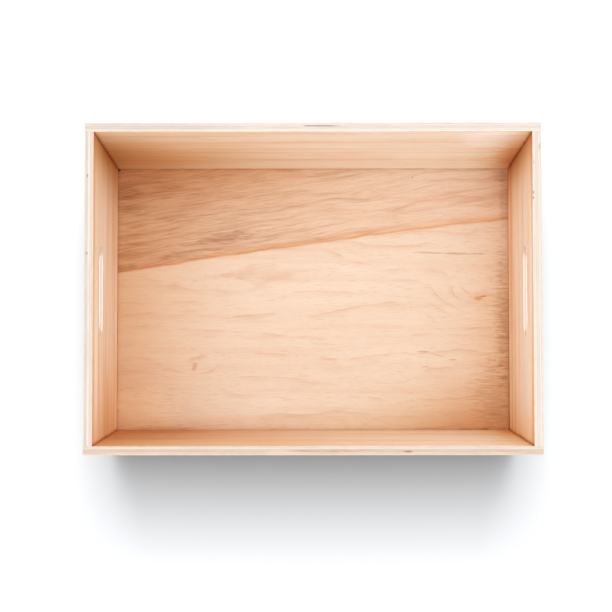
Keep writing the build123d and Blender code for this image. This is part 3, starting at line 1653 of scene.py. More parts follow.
@dataclass
class EndWall(Board):
    """An upright end wall between the long walls, with a hand slot."""

    hand: Hand = Hand.POSITIVE
    slot_length: float = 62.0
    slot_height: float = 20.0
    slot_drop: float = 43.5
    slot_easing: float = 0.8
    slot_margin: float = 5.0
    slot_step: float = 1.2
    straight_reach: float = 90.0
    seam_reach: float = 0.7

    def lie(self) -> BoardFrame:
        """Which way the board's measures run.

        Returns:
            The directions and the places of its seams.
        """
        s = self.sizes
        return BoardFrame(
            along=Vector((0, 1, 0)),
            across=Vector((0, 0, 1)),
            depth=Vector((self.hand.value, 0, 0)),
            depth_start=s.end_inner_x,
            thickness=s.thickness,
            top=s.height,
            reach=float(s.inner_y(s.height)),
            foot=s.thickness,
            narrowing=s.lean_slope,
        )

    def span(self) -> tuple[Corner, Corner]:
        """The board's lowest and highest measures.

        Returns:
            The lowest measures and the highest.
        """
        s = self.sizes
        reach = float(s.inner_y(s.height))
        return (-reach, 0.0, 0.0), (reach, s.height, s.thickness)

    def openings(self) -> list[Opening]:
        """The hand slot, and pinholes along the floor's edge.

        Returns:
            The slot, and then the pinholes.
        """
        s, b = self.sizes, self.brads
        radius = self.slot_height / 2
        slot = Opening(
            along=0.0,
            across=s.height - self.slot_drop,
            half_run=self.slot_length / 2 - radius,
            radius=radius,
            flare=self.slot_easing,
            margin=self.slot_margin,
            step=self.slot_step,
        )
        reach = s.foot_inner_y - b.floor_margin
        row = spread(-reach, reach, b.end_floor_count)
        return [slot] + [self.brad_pocket(y, s.thickness / 2) for y in row]

    def place(self, points: np.ndarray) -> np.ndarray:
        """Move points from the board's measures into the box's frame.

        Args:
            points: In the board's measures, one to a row.

        Returns:
            The points in the box's frame, in millimetres.
        """
        s, straight = self.sizes, self.straight_reach
        along, across, depth = points.T
        narrowed = (s.inner_y(across) - straight) / (s.inner_y(s.height) - straight)
        side = straight + (np.abs(along) - straight) * narrowed
        y = np.where(np.abs(along) > straight, np.sign(along) * side, along)
        return np.column_stack([self.hand.value * (s.end_inner_x + depth), y, across])

    def against(self, points: np.ndarray) -> np.ndarray:
        """How far each place lies against another board, from 0 to 1."""
        reach = float(self.sizes.inner_y(self.sizes.height))
        return (np.abs(points[:, 0]) > reach - self.seam_reach).astype(float)


@dataclass
class FloorBoard(Board):
    """The floor, set in between all four walls.

    Attributes:
        closed: How much of the gap at its right edge the floor closes at mid width.
        closing_run: How far across the board it has closed, or opened, the whole gap.
        closed_least: The least that it closes.
        closed_most: The most that it closes.
    """

    closed: float = 1.08
    closing_run: float = 150.0
    closed_least: float = 0.4
    closed_most: float = 0.96

    def lie(self) -> BoardFrame:
        """Which way the board's measures run.

        Returns:
            The directions and the places of its seams.
        """
        s = self.sizes
        reach = float(s.inner_y(s.thickness))
        return BoardFrame(
            along=Vector((1, 0, 0)),
            across=Vector((0, 1, 0)),
            depth=Vector((0, 0, -1)),
            depth_start=-s.thickness,
            thickness=s.thickness,
            top=reach,
            reach=s.end_inner_x,
            foot=-reach,
        )

    def span(self) -> tuple[Corner, Corner]:
        """The board's lowest and highest measures.

        Returns:
            The lowest measures and the highest.
        """
        s = self.sizes
        reach = float(s.inner_y(s.thickness))
        return (-s.end_inner_x, -reach, 0.0), (s.floor_right_x, reach, s.thickness)

    def place(self, points: np.ndarray) -> np.ndarray:
        """Move points from the board's measures into the box's frame.

        Args:
            points: In the board's measures, one to a row.

        Returns:
            The points in the box's frame, in millimetres.
        """
        s = self.sizes
        along, across, depth = points.T
        height = s.thickness - depth
        y = across * s.inner_y(height) / s.inner_y(s.thickness)
        closed = self.closed + across / self.closing_run
        closed = np.clip(closed, self.closed_least, self.closed_most)
        closing = closed * (s.end_inner_x - s.floor_right_x)
        x = np.where(along > 0.0, along * (1.0 + closing / s.floor_right_x), along)
        return np.column_stack([x, y, height])

    def against(self, points: np.ndarray) -> np.ndarray:
        """The floor lies against the walls all round."""
        return np.ones(len(points))


# Brads


class BradRowNodes:
    """The Geometry Nodes that lay a row of headed brads along a line."""

    INPUTS = {
        "Count": "Int",
        "First": "Vector",
        "Last": "Vector",
        "Turn": "Vector",
        "Length": "Float",
        "Shank radius": "Float",
        "Head radius": "Float",
        "Head height": "Float",
        "Point length": "Float",
        "Sink": "Float",
        "Seed": "Int",
    }
    # How many sides a brad has.
    SIDES = 20
    # The bevel of its head and the radius of its tip, as shares of the full radius.
    BEVEL = 0.12
    TIP = 0.12
    # Points that are this close are welded, in metres.
    WELD = 1e-6
    # How far it leans at most.
    LEAN = math.radians(1.5)

    def __init__(self, steel: bpy.types.Material) -> None:
        """Build the tree.

        Args:
            steel: The brads' material.
        """
        self.tree = bpy.data.node_groups.new("brad_row", "GeometryNodeTree")
        face = self.tree.interface
        self.identifiers = {}
        for name, kind in self.INPUTS.items():
            given = face.new_socket(name, in_out="INPUT", socket_type=f"NodeSocket{kind}")
            self.identifiers[name] = given.identifier
        face.new_socket("Row", in_out="OUTPUT", socket_type="NodeSocketGeometry")
        self.w = Wiring(self.tree)
        self.given = self.w.node("NodeGroupInput").outputs
        row = self._row(self._brad())
        painted = self.w.first("GeometryNodeSetMaterial", {"Geometry": row, "Material": steel})
        self.w.node("NodeGroupOutput", {0: painted})

    def _number(self, name: str) -> Signal:
        """One of the tree's inputs, as a number."""
        return Signal(self.w, self.given[name])

    def _down(self, fall: Number) -> Socket:
        """A step straight down."""
        return self.w.first("ShaderNodeCombineXYZ", {2: self.w.math("MULTIPLY", fall, -1.0)})

    def _drawn_down(
        self, solid: Socket, end: Socket | bool, fall: Number
    ) -> tuple[Socket, Socket]:
        """Draw the lowest face further down, and tell which face is lowest then.

        Args:
            solid: What is drawn.
            end: Its lowest face.
            fall: How far.

        Returns:
            The drawn solid, and its lowest face.
        """
        feeds = {
            "Mesh": solid,
            "Selection": end,
            "Offset": self._down(fall),
            "Offset Scale": 1.0,
            "Individual": False,
        }
        drawn = self.w.node("GeometryNodeExtrudeMesh", feeds, mode="FACES")
        return drawn.outputs["Mesh"], drawn.outputs["Top"]

    def _narrowed(self, solid: Socket, end: Socket | bool, share: Number) -> Socket:
        """Narrow the lowest face about its own middle."""
        feeds = {"Geometry": solid, "Selection": end, "Scale": share}
        return self.w.first("GeometryNodeScaleElements", feeds)

    def _brad(self) -> Socket:
        """One brad: head, step, shank and point, drawn down from a disc.

        Returns:
            The brad, with its head at the top.
        """
        head_radius, head_height = self._number("Head radius"), self._number("Head height")
        point_length = self._number("Point length")
        ring = {"Vertices": self.SIDES, "Radius": head_radius}
        disc = self.w.first("GeometryNodeMeshCircle", ring, fill_type="NGON")
        bevel = head_radius * self.BEVEL
        crown = self._narrowed(disc, True, 1.0 - self.BEVEL)
        lip, end = self._drawn_down(crown, True, bevel)
        wide = self._narrowed(lip, end, 1.0 / (1.0 - self.BEVEL))
        head, end = self._drawn_down(wide, end, head_height - bevel)
        step, end = self._drawn_down(head, end, 0.0)
        neck = self._narrowed(step, end, self._number("Shank radius") / head_radius)
        straight = self._number("Length") - head_height - point_length
        shank, end = self._drawn_down(neck, end, straight)
        point, end = self._drawn_down(shank, end, point_length)
        joined = self.w.node("GeometryNodeJoinGeometry", {0: self._narrowed(point, end, self.TIP)})
        self.w.feed(joined.inputs[0], crown)
        feeds = {"Geometry": joined.outputs[0], "Distance": self.WELD}
        return self.w.first("GeometryNodeMergeByDistance", feeds)

    def _row(self, brad: Socket) -> Socket:
        """Stand the brads in their row, each a little out of true.

        Args:
            brad: One brad.

        Returns:
            The brads as one mesh.
        """
        w, given = self.w, self.given
        ends = {"Count": given["Count"], "Start Location": given["First"], "Offset": given["Last"]}
        line = w.first("GeometryNodeMeshLine", ends, mode="END_POINTS")
        turn = w.first("FunctionNodeEulerToRotation", {0: given["Turn"]})
        feeds = {"Points": line, "Instance": brad, "Rotation": turn}
        stood = w.first("GeometryNodeInstanceOnPoints", feeds)
        least, most = (-self.LEAN, -self.LEAN, 0.0), (self.LEAN, self.LEAN, 2 * math.pi)
        feeds = {0: least, 1: most, "Seed": given["Seed"]}
        chance = w.first("FunctionNodeRandomValue", feeds, data_type="FLOAT_VECTOR")
        tilt = w.first("FunctionNodeEulerToRotation", {0: chance})
        leaned = w.first("GeometryNodeRotateInstances", {"Instances": stood, "Rotation": tilt})
        drop = self._down(self._number("Sink"))
        feeds = {"Instances": leaned, "Translation": drop}
        sunk = w.first("GeometryNodeTranslateInstances", feeds)
        return w.first("GeometryNodeRealizeInstances", {"Geometry": sunk})


@dataclass
class BradRow:
    """One row of brads, from its first place to its last on a board's outer face.

    Attributes:
        place: Where it is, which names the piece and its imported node.
        count: How many brads there are.
        first: The first brad's place on the face, in millimetres.
        last: The last brad's place.
        turn: The turn that points the brads' heads out of the board.
        seed: Fixes how they lean.
    """

    place: str
    count: int
    first: Vector
    last: Vector
    turn: Vector
    seed: int = 0

    # The angle from which an edge is sharp, in degrees.
    SHARP = 35.0

    def build(self, nodes: BradRowNodes, brads: BradSizes) -> bpy.types.Object:
        """Lay the row and make it a plain mesh.

        Args:
            nodes: The tree that lays a row.
            brads: The brads' sizes.

        Returns:
            The finished row.
        """
        name = f"{self.place}_brad_row"
        row = add_object(name, bpy.data.meshes.new(name))
        modifier = row.modifiers.new("row", "NODES")
        modifier.node_group = nodes.tree
        given = {
            "Count": self.count,
            "First": self.first * MM,
            "Last": self.last * MM,
            "Turn": self.turn,
            "Length": brads.length * MM,
            "Shank radius": brads.shank_radius * MM,
            "Head radius": brads.head_radius * MM,
            "Head height": brads.head_height * MM,
            "Point length": brads.point_length * MM,
            "Sink": brads.sink * MM,
            "Seed": self.seed,
        }
        for title, value in given.items():
            modifier[nodes.identifiers[title]] = value
        evaluated = row.evaluated_get(bpy.context.evaluated_depsgraph_get())
        row.data = bpy.data.meshes.new_from_object(evaluated)
        row.modifiers.remove(modifier)
        row.data.name = name
        round_off(row.data, self.SHARP)
        hand_in(row, f"{self.place}_brads")
        return row


@dataclass
class Brads:
    """All the rows of brads that hold the box together."""

    sizes: BoxSizes
    brads: BradSizes

    def _long_row(
        self, place: str, count: int, hand: Hand, *ends: tuple[float, float]
    ) -> BradRow:
        """A row on a long wall's outer face, with its ends given along the wall and up it.

        Args:
            place: The row's place, in its name.
            count: How many brads.
            hand: Which wall.
            *ends: Both ends, each as its places along the wall and up it.

        Returns:
            The row.
        """
        first, last = (
            Vector((x, hand.value * float(self.sizes.outer_y(height)), height))
            for x, height in ends
        )
        turn = Vector((-hand.value * (math.pi / 2 + self.sizes.lean), 0.0, 0.0))
        return BradRow(place, count, first, last, turn)

    def rows(self) -> list[BradRow]:
        """Work out every row.

        Returns:
            The rows, corners first.
        """
        s, b = self.sizes, self.brads
        low, high = s.thickness + b.corner_margin, s.height - b.corner_margin
        corner_x = s.half_length - s.thickness / 2
        reach, middle = s.half_length - b.floor_margin, s.thickness / 2
        long_walls = (("back", Hand.POSITIVE), ("front", Hand.NEGATIVE))
        rows = [
            self._long_row(f"{wall}_{side}_corner", b.corner_count, hand, (x, low), (x, high))
            for wall, hand in long_walls
            for side, x in (("left", -corner_x), ("right", corner_x))
        ]
        rows += [
            self._long_row(
                f"{wall}_floor", b.long_floor_count, hand, (-reach, middle), (reach, middle)
            )
            for wall, hand in long_walls
        ]
        rows += [
            self._end_row(f"{wall}_floor", b.end_floor_count, hand)
            for wall, hand in (("right", Hand.POSITIVE), ("left", Hand.NEGATIVE))
        ]
        return [replace(row, seed=number) for number, row in enumerate(rows, 1)]

    def _end_row(self, place: str, count: int, hand: Hand) -> BradRow:
        """A row on an end wall's outer face, into the floor's edge.

        Args:
            place: The row's place, in its name.
            count: How many brads.
            hand: Which wall.

        Returns:
            The row.
        """
        x, height = hand.value * self.sizes.half_length, self.sizes.thickness / 2
        reach = self.sizes.foot_inner_y - self.brads.floor_margin
        first, last = (Vector((x, y, height)) for y in (-reach, reach))
        turn = Vector((0.0, hand.value * math.pi / 2, 0.0))
        return BradRow(place, count, first, last, turn)


# Studio


@dataclass(frozen=True)
class Studio:
    """The pale ground, the soft light and the camera, in metres where nothing else is said.

    Attributes:
        sky_level: How brightly the even light from all round shines.
        key_strength: The ground lamp's strength.
        key_spread: Half the ground lamp's spread, in degrees, sideways and front to back.
        key_tilt: How far behind upright the ground lamp stands, in degrees.
        soft_power: The overhead lamp's power.
        soft_size: The overhead lamp's width.
        soft_height: How high it hangs.
        key_distance: How far off the ground lamp stands.
        ground_reach: How far the ground reaches each way.
        ground_drop: How far the ground lies below the box, in millimetres.
        ground_seen: The ground's tone to the camera.
        ground_lit: The ground's tone to the light that it throws back.
        sensor: How wide the camera's sensor is, in millimetres.
        lens: The camera's focal length, in millimetres.
        sight: The nearest and the farthest that the camera sees.
        camera_place: Where it stands.
        camera_turn: Its turn about X, Y and Z, in radians.
    """

    sky_level: float = 1.22
    key_strength: float = 3.4
    key_spread: tuple[float, float] = (12.0, 18.0)
    key_tilt: float = 17.0
    soft_power: float = 2.5
    soft_size: float = 1.0
    soft_height: float = 1.6
    key_distance: float = 40.0
    ground_reach: float = 6.0
    ground_drop: float = 0.3
    ground_seen: Colour = (0.256, 0.262, 0.270)
    ground_lit: Colour = (0.18, 0.18, 0.18)
    sensor: float = 36.0
    lens: float = 92.71
    sight: tuple[float, float] = (0.01, 200.0)
    camera_place: Corner = (0.00024, -0.06762, 1.2442)
    camera_turn: Corner = (0.05011, 0.004634, -0.0009432)

    def _seen_share(self, w: Wiring) -> Signal:
        """1 for what the camera sees, straight or in a shine, and 0 for other light.

        Args:
            w: The wiring of a material.

        Returns:
            The share.
        """
        path = w.node("ShaderNodeLightPath")
        straight, shine, through = (
            Signal(w, path.outputs[name])
            for name in ("Is Camera Ray", "Is Glossy Ray", "Is Transmission Ray")
        )
        return straight.most(shine).most(through)

    def lay_ground(self) -> bpy.types.Object:
        """Lay the pale ground.

        Returns:
            The ground.
        """
        mesh = bpy.data.meshes.new("ground")
        reach, level = self.ground_reach, -self.ground_drop * MM
        corners = ((-reach, -reach), (reach, -reach), (reach, reach), (-reach, reach))
        mesh.from_pydata([(x, y, level) for x, y in corners], [], [(0, 1, 2, 3)])
        ground = add_object("ground", mesh)
        material, w = new_material("pale_ground")
        lit, seen = (
            w.first("ShaderNodeBsdfDiffuse", {"Color": tone})
            for tone in (self.ground_lit, self.ground_seen)
        )
        w.surface("ShaderNodeMixShader", {0: self._seen_share(w), 1: lit, 2: seen})
        mesh.materials.append(material)
        return ground

    def light_room(self) -> None:
        """Surround the box with even white light."""
        world = bpy.data.worlds.new("soft_room")
        world.use_nodes = True
        w = Wiring(world.node_tree)
        sky = {"Color": (1.0, 1.0, 1.0), "Strength": self.sky_level}
        w.node("ShaderNodeOutputWorld", {"Surface": w.first("ShaderNodeBackground", sky)})
        bpy.context.scene.world = world

    def _lamp(
        self, name: str, power: float, size: Sequence[float], receivers: Iterable[bpy.types.Object]
    ) -> bpy.types.Object:
        """Make an oblong lamp that lights only some objects.

        Args:
            name: Its name.
            power: Its power in watts.
            size: Its width and length.
            receivers: What it lights.

        Returns:
            The lamp.
        """
        lamp = bpy.data.lights.new(name, "AREA")
        lamp.shape = "RECTANGLE"
        lamp.size, lamp.size_y = size
        lamp.energy = power
        held = add_object(name, lamp)
        lit = bpy.data.collections.new(f"{name}_lit")
        for receiver in receivers:
            lit.objects.link(receiver)
        held.light_linking.receiver_collection = lit
        return held

    def hang_ground_lamp(self, ground: bpy.types.Object) -> None:
        """Hang the lamp that throws the box's shadow forward on the ground.

        Args:
            ground: The ground, which alone it lights.
        """
        far = self.key_distance
        size = [2 * far * math.tan(math.radians(half)) for half in self.key_spread]
        power = self.key_strength * far * far * math.pi * math.pi
        held = self._lamp("ground_lamp", power, size, [ground])
        tilt = math.radians(self.key_tilt)
        held.location = (0.0, far * math.sin(tilt), far * math.cos(tilt))
        held.rotation_euler = (-tilt, 0.0, 0.0)

    def hang_soft_lamp(self, pieces: Iterable[bpy.types.Object]) -> None:
        """Hang the wide lamp over the open box, whose pieces alone it lights."""
        held = self._lamp("soft_lamp", self.soft_power, (self.soft_size,) * 2, pieces)
        held.location = (0.0, 0.0, self.soft_height)

    def set_camera(self) -> None:
        """Stand the camera where the picture is taken from."""
        lens = bpy.data.cameras.new("camera")
        lens.sensor_fit = "HORIZONTAL"
        lens.sensor_width = self.sensor
        lens.lens = self.lens
        lens.clip_start, lens.clip_end = self.sight
        camera = add_object("camera", lens)
        camera.location = self.camera_place
        camera.rotation_mode = "ZYX"
        camera.rotation_euler = self.camera_turn
        bpy.context.scene.camera = camera


# This box's own woods

GREY_BROWN: Colour = (0.66, 0.58, 0.54)
KNOT: Colour = (0.42, 0.25, 0.16)
# The next two colours tint the painted shade in the corners and along the walls' feet.
AMBER: Colour = (0.92, 0.66, 0.42)
FLOOR_SHADE_TONE: Colour = (0.74, 0.41, 0.21)

FLOOR_VENEER = Veneer(
    pale=(0.92, 0.82, 0.71),
    body=(0.885, 0.75, 0.62),
    seed=11.3,
    streak=0.22,
    streak_width=7.0,
    figure=0.5,
    line=(0.85, 0.62, 0.46),
    ring=0.45,
    ring_gap=15.0,
    fleck=0.50,
    fibre=1.0,
    heart=HeartBand(start=42.0, slant=0.139, bow=2.0),
    knots=(Knot(131, 1, 34, 22, 34.0), Knot(-93, -53, 26, 14, 20.0)),
    marks=(
        Mark(130, 0.5, 9, 4.5, (0.98, 0.84, 0.70), 0.8, slant=0.2, ragged=1.2),
        Mark(130, 0.6, 3.4, 2.1, (0.88, 0.60, 0.41), 0.9, ragged=1.2),
        Mark(120, 6, 5.5, 1.2, (0.90, 0.74, 0.58), 0.6, slant=-0.7, ragged=1.3),
        Mark(134, 2, 2.8, 0.8, (0.66, 0.47, 0.37), 0.85, slant=0.1, ragged=1.0),
        Mark(78.5, 95.9, 0.8, 0.8, (0.62, 0.48, 0.42), 0.9),
        Mark(108, 90.8, 0.8, 0.6, (0.70, 0.54, 0.46), 0.8),
        Mark(140, 13.5, 0.7, 0.7, (0.66, 0.52, 0.46), 0.8),
        Mark(-93, -53, 2.4, 3.6, (0.80, 0.64, 0.56), 0.8, slant=0.5, ragged=1.3),
        Mark(-90, -46, 9, 2.4, (0.86, 0.76, 0.66), 0.6, slant=0.35, ragged=1.3),
        Mark(151.5, -42, 5.5, 48, (0.84, 0.70, 0.60), 0.4, ragged=2.0),
        Mark(-148, 84, 16, 6, (0.72, 0.60, 0.52), 0.7, ragged=2.0),
        Mark(-146, 72, 16, 4, (0.72, 0.62, 0.56), 0.7, ragged=2.0),
        Mark(-148, 25, 10, 3.4, GREY_BROWN, 0.7, slant=0.12, ragged=1.5),
        Mark(-68, 48.5, 24, 5, (0.74, 0.62, 0.57), 0.75, slant=0.16, ragged=2.0),
        Mark(-104, 35, 20, 3, (0.76, 0.67, 0.62), 0.7, slant=0.16, ragged=2.0),
        Mark(151, 80, 4, 26, (0.78, 0.68, 0.62), 0.7, ragged=2.0),
        Mark(149, 97, 8, 5, (0.80, 0.72, 0.66), 0.8, ragged=2.0),
        Mark(106, 36, 26, 0.8, (0.76, 0.55, 0.43), 0.8, slant=-0.02, ragged=2.2),
        Mark(87, -41.5, 5, 0.6, (0.80, 0.57, 0.43), 0.85, ragged=1.8),
        Mark(98, -44.3, 9.5, 0.6, (0.86, 0.70, 0.57), 0.8, slant=-0.27, ragged=1.0),
        Mark(109.5, -48, 3, 0.65, (0.74, 0.57, 0.47), 0.8, ragged=1.4),
        Mark(88, -53.4, 3.2, 0.5, (0.84, 0.70, 0.60), 0.8, ragged=1.4),
        Mark(149.5, -12, 6.5, 46, (0.82, 0.70, 0.62), 0.75, ragged=4.0),
        Mark(141, -76, 15, 26, (0.86, 0.76, 0.68), 0.75, ragged=4.0),
        # Partly painted shade along the front wall's foot, partly a brown streak in the wood.
        Mark(-116, -102, 26, 3.5, (0.84, 0.69, 0.57), 0.8, ragged=2.0),
        # Painted light: the next two lighten the floor beside the left wall, lifting the painted
        # shade there.
        Mark(-138, -90, 34, 24, (1.11, 1.15, 1.11), ragged=0.8),
        Mark(-138, 68, 22, 28, (1.03, 1.10, 1.12), ragged=0.8),
        Mark(-70, -82, 62, 22, (1.03, 1.07, 1.10), ragged=0.8),
        Mark(117, -103, 5, 1.4, (0.55, 0.38, 0.28), 0.9),
        Mark(135, -102.6, 4, 1.8, (0.62, 0.44, 0.34), 0.9),
        # Painted shade: a near-black spot in the far left corner, where the floor meets two walls.
        Mark(-152.9, 102, 1.5, 1.3, (0.16, 0.10, 0.07), 1.0, ragged=0.4),
    ),
    shades=(
        # Painted shade towards the floor's corners and along the walls' feet.
        Shade(-154, 0, 50, 500, 0.38, FLOOR_SHADE_TONE),
        Shade(-154, 103, 100, 27, 0.30, FLOOR_SHADE_TONE),
        Shade(-72, 103, 78, 18, 0.33, FLOOR_SHADE_TONE),
        Shade(-30, -103, 240, 8.5, 0.30, FLOOR_SHADE_TONE),
        Shade(124, -103, 52, 24, 0.72, FLOOR_SHADE_TONE),
        Shade(153, -50, 24, 100, 0.52, AMBER),
        # The next two are partly painted shade beside the right wall, partly the streaky stain of
        # the wood there.
        Shade(153.5, -10, 9, 130, 0.85, (0.79, 0.71, 0.65), ragged=3.4),
        Shade(153.5, -88, 24, 24, 0.3, (0.76, 0.68, 0.62), ragged=3.0),
        Shade(153, 103, 13, 20, 0.4, FLOOR_SHADE_TONE),
    ),
    seam_dirt=0.15,
)

WALL_VENEER = Veneer(
    pale=(0.95, 0.86, 0.77),
    body=(0.93, 0.79, 0.66),
    warm=(0.89, 0.61, 0.38),
    streak=0.8,
    ring=0.25,
)

BACK_VENEER = replace(
    WALL_VENEER,
    seed=31.7,
    streak_width=8.0,
    marks=(
        # Painted light: the next four lighten the wall's foot and its right part.
        Mark(60, 12, 220, 24, (1.05, 1.12, 1.18), ragged=0.5),
        Mark(125, 40, 85, 62, (1.03, 1.09, 1.14), ragged=0.4),
        Mark(95, 55, 200, 66, (1.03, 1.06, 1.08), ragged=0.4),
        Mark(127, 122, 25, 34, (1.07, 1.20, 1.38), ragged=0.6),
        Mark(-115, 3.1, 70, 4, (0.93, 0.89, 0.86), ragged=0.5, side=Side.RIM),
    ),
    shades=(
        # Painted shade towards the wall's corners, darkest low in the right one.
        Shade(-154, 50, 82, 72, 1.0),
        Shade(-154, 75, 25, 45, 0.5, ragged=2.0),
        Shade(-118, 45, 30, 50, 0.4, (1.0, 0.76, 0.50)),
        Shade(154, 52, 14, 58, 1.6, (0.76, 0.44, 0.23), fall=1.8, ragged=2.5),
    ),
)

FRONT_VENEER = replace(
    WALL_VENEER,
    seed=47.1,
    streak_width=7.0,
    marks=(
        Mark(-31, 99, 1.1, 0.9, KNOT),
        Mark(-65, 130, 140, 16, (0.94, 0.93, 0.93), ragged=0.6),
        Mark(-95, 122, 62, 17, (0.98, 1.06, 1.20), ragged=0.8),
        # Painted shade: the next two darken the wall towards its left corner.
        Mark(-122, 80, 58, 17, (0.85, 0.83, 0.78), 0.9, ragged=1.2),
        Mark(-126, 46, 54, 22, (0.92, 0.91, 0.86), 0.9, ragged=1.0),
        Mark(-118, 22, 46, 16, (0.86, 0.72, 0.58), 0.8, ragged=1.8),
        Mark(20, 96, 90, 7, (0.97, 0.85, 0.74), 0.8, ragged=1.6),
        Mark(-40, 62, 120, 6, (0.97, 0.86, 0.76), 0.7, ragged=2.0),
        Mark(10, 3, 34, 1, (0.86, 0.72, 0.62), ragged=1.6, side=Side.RIM),
        Mark(66, 3.7, 3.4, 0.7, (0.62, 0.42, 0.30), side=Side.RIM),
    ),
    shades=(
        # Painted shade towards the wall's corners.
        Shade(-154, 6, 125, 190, 1.45, AMBER),
        Shade(-154, 6, 110, 190, 0.6),
        Shade(154, 6, 14, 100, 2, AMBER, ragged=2.0),
    ),
)

END_BANDS = (
    Mark(0, 141, 400, 5.5, (0.98, 0.64, 0.38), 0.95, ragged=0.7),
    Mark(0, 25, 400, 1.6, (0.86, 0.66, 0.48), 0.8, ragged=1.2),
    Mark(0, 89.5, 30, 3.6, (1.0, 0.86, 0.70), 0.9, ragged=0.5),
    Mark(0, 116, 30, 3.6, (1.0, 0.86, 0.70), 0.9, ragged=0.5),
    # Painted shade: dark dots at the slot's round ends.
    Mark(31.8, 104, 1.2, 3.2, (0.50, 0.42, 0.37), 0.9),
    Mark(-31.6, 104, 1, 2.8, (0.64, 0.53, 0.46), 0.8),
)

END_VENEER = replace(WALL_VENEER, streak=1.0, streak_width=11.0, figure=0.4, ring=0.2)

LEFT_VENEER = replace(
    END_VENEER,
    seed=59.9,
    marks=END_BANDS
    + (
        Mark(0, 12, 400, 11, (1.15, 1.10, 1.03), ragged=0.4),
        Mark(-20, 42, 200, 11, (1.09, 1.06, 1.02), ragged=0.5),
        Mark(-52, 125, 42, 9, (1.04, 1.12, 1.22), ragged=0.6),
        Mark(48, 84, 60, 8, (1.03, 1.09, 1.18), ragged=0.6),
        Mark(-84, 64, 32, 10, (1.02, 0.78, 0.56), ragged=0.8),
        # Painted light: the next two lift the painted shade near the front corner, under the rim
        # and near the foot.
        Mark(-88, 121, 34, 9, (1.08, 1.18, 1.34), ragged=0.8),
        Mark(-84, 26, 40, 17, (1.11, 1.08, 1.05), ragged=0.8),
        Mark(79, 4.2, 1.4, 0.7, (0.60, 0.50, 0.46), side=Side.RIM),
        Mark(24.5, 4.4, 1.2, 0.8, (0.68, 0.50, 0.38), side=Side.RIM),
    ),
    shades=(
        # Painted shade towards the wall's corners.
        Shade(108, 6, 24, 190, 1.3),
        Shade(108, 75, 10, 50, 0.9),
        Shade(108, 6, 60, 190, 0.08, AMBER),
        Shade(-110, 60, 40, 90, 1.05, AMBER),
    ),
)

RIGHT_VENEER = replace(
    END_VENEER,
    seed=73.3,
    marks=END_BANDS
    + (
        Mark(0, 10, 400, 9, (1.14, 0.98, 0.82), ragged=0.6),
        Mark(0, 25, 400, 7, (1.0, 0.80, 0.62), ragged=0.8),
        Mark(0, 64, 400, 5, (1.02, 0.92, 0.80), ragged=1.4),
        Mark(20, 138, 58, 12, (1.0, 1.26, 1.56), ragged=0.6),
        Mark(24, 121, 74, 7, (0.98, 0.86, 0.76), ragged=0.8),
        Mark(56, 25, 96, 21, (1.0, 0.84, 0.72), 0.9, ragged=0.8),
        Mark(99.4, 5.2, 2.8, 0.35, (0.50, 0.40, 0.36), side=Side.RIM),
        Mark(67, 0.5, 1.6, 0.5, (0.50, 0.34, 0.30), side=Side.RIM),
        Mark(63.2, 0.4, 1.1, 0.6, (0.50, 0.34, 0.30), side=Side.RIM),
        Mark(88, 1, 1.6, 0.6, (0.80, 0.62, 0.58), 0.8, side=Side.RIM),
    ),
    shades=(
        # Painted shade towards the wall's corners.
        Shade(108, 6, 20, 190, 1.4),
        Shade(108, 40, 9, 60, 0.9),
        Shade(108, 105, 12, 60, 0.7, (0.96, 0.66, 0.42)),
        Shade(-110, 6, 19, 190, 0.95, AMBER),
    ),
)


LEFT_EDGE = PlyEdge(
    rim=(
        (0.77, 0.66, 0.58),
        (0.69, 0.59, 0.52),
        (0.75, 0.69, 0.64),
        (0.65, 0.55, 0.48),
        (0.73, 0.66, 0.60),
    )
)

BACK_EDGE = PlyEdge(
    rim=(
        (0.83, 0.82, 0.77),
        (0.74, 0.68, 0.63),
        (0.71, 0.61, 0.54),
        (0.75, 0.67, 0.61),
        (0.77, 0.71, 0.66),
    )
)

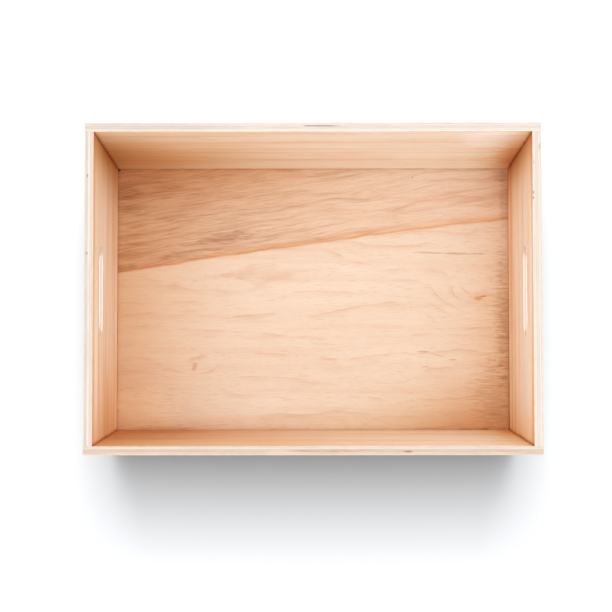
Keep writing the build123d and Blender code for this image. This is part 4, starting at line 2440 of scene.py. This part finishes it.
FRONT_EDGE = PlyEdge(
    rim=(
        (0.76, 0.66, 0.57),
        (0.70, 0.60, 0.53),
        (0.62, 0.49, 0.40),
        (0.68, 0.53, 0.43),
        (0.75, 0.64, 0.54),
    )
)

RIGHT_EDGE = PlyEdge(
    rim=(
        (0.80, 0.77, 0.71),
        (0.74, 0.67, 0.61),
        (0.70, 0.62, 0.55),
        (0.77, 0.69, 0.62),
        (0.76, 0.68, 0.60),
    )
)


def report(pieces: Sequence[bpy.types.Object]) -> None:
    """Args:
        pieces: The finished pieces, for the log.
    """
    log.info("%d pieces", len(pieces))


def main() -> None:
    """Build the box piece by piece, then its studio."""
    logging.basicConfig(level=logging.INFO, format="%(message)s")
    sizes, brads = BoxSizes.from_frame(), BradSizes()
    core_gap = Chip(along=5.2, depth=4.05, reach_along=12.0, reach_depth=0.34, bite=0.5)
    boards: list[Board] = [
        FloorBoard(sizes, brads, "floor_board", "bottom_panel", FLOOR_VENEER, EdgeWork(seed=3)),
        LongWall(
            sizes, brads, "back_wall", "back_panel", BACK_VENEER,
            EdgeWork(seed=5, chips=(core_gap,)), BACK_EDGE, hand=Hand.POSITIVE,
        ),
        LongWall(
            sizes, brads, "front_wall", "front_panel", FRONT_VENEER,
            EdgeWork(seed=7), FRONT_EDGE, hand=Hand.NEGATIVE,
        ),
        EndWall(
            sizes, brads, "left_end_wall", "left_end_panel", LEFT_VENEER,
            EdgeWork(seed=9), LEFT_EDGE, hand=Hand.NEGATIVE,
        ),
        EndWall(
            sizes, brads, "right_end_wall", "right_end_panel", RIGHT_VENEER,
            EdgeWork(seed=13), RIGHT_EDGE, hand=Hand.POSITIVE,
        ),
    ]
    pieces = [board.build() for board in boards]
    nodes = BradRowNodes(SteelFinish().build())
    pieces += [row.build(nodes, brads) for row in Brads(sizes, brads).rows()]
    studio = Studio()
    ground = studio.lay_ground()
    studio.light_room()
    studio.hang_ground_lamp(ground)
    studio.hang_soft_lamp(pieces)
    studio.set_camera()
    bpy.context.scene.view_settings.view_transform = "Standard"
    report(pieces)


if __name__ == "__main__":
    main()
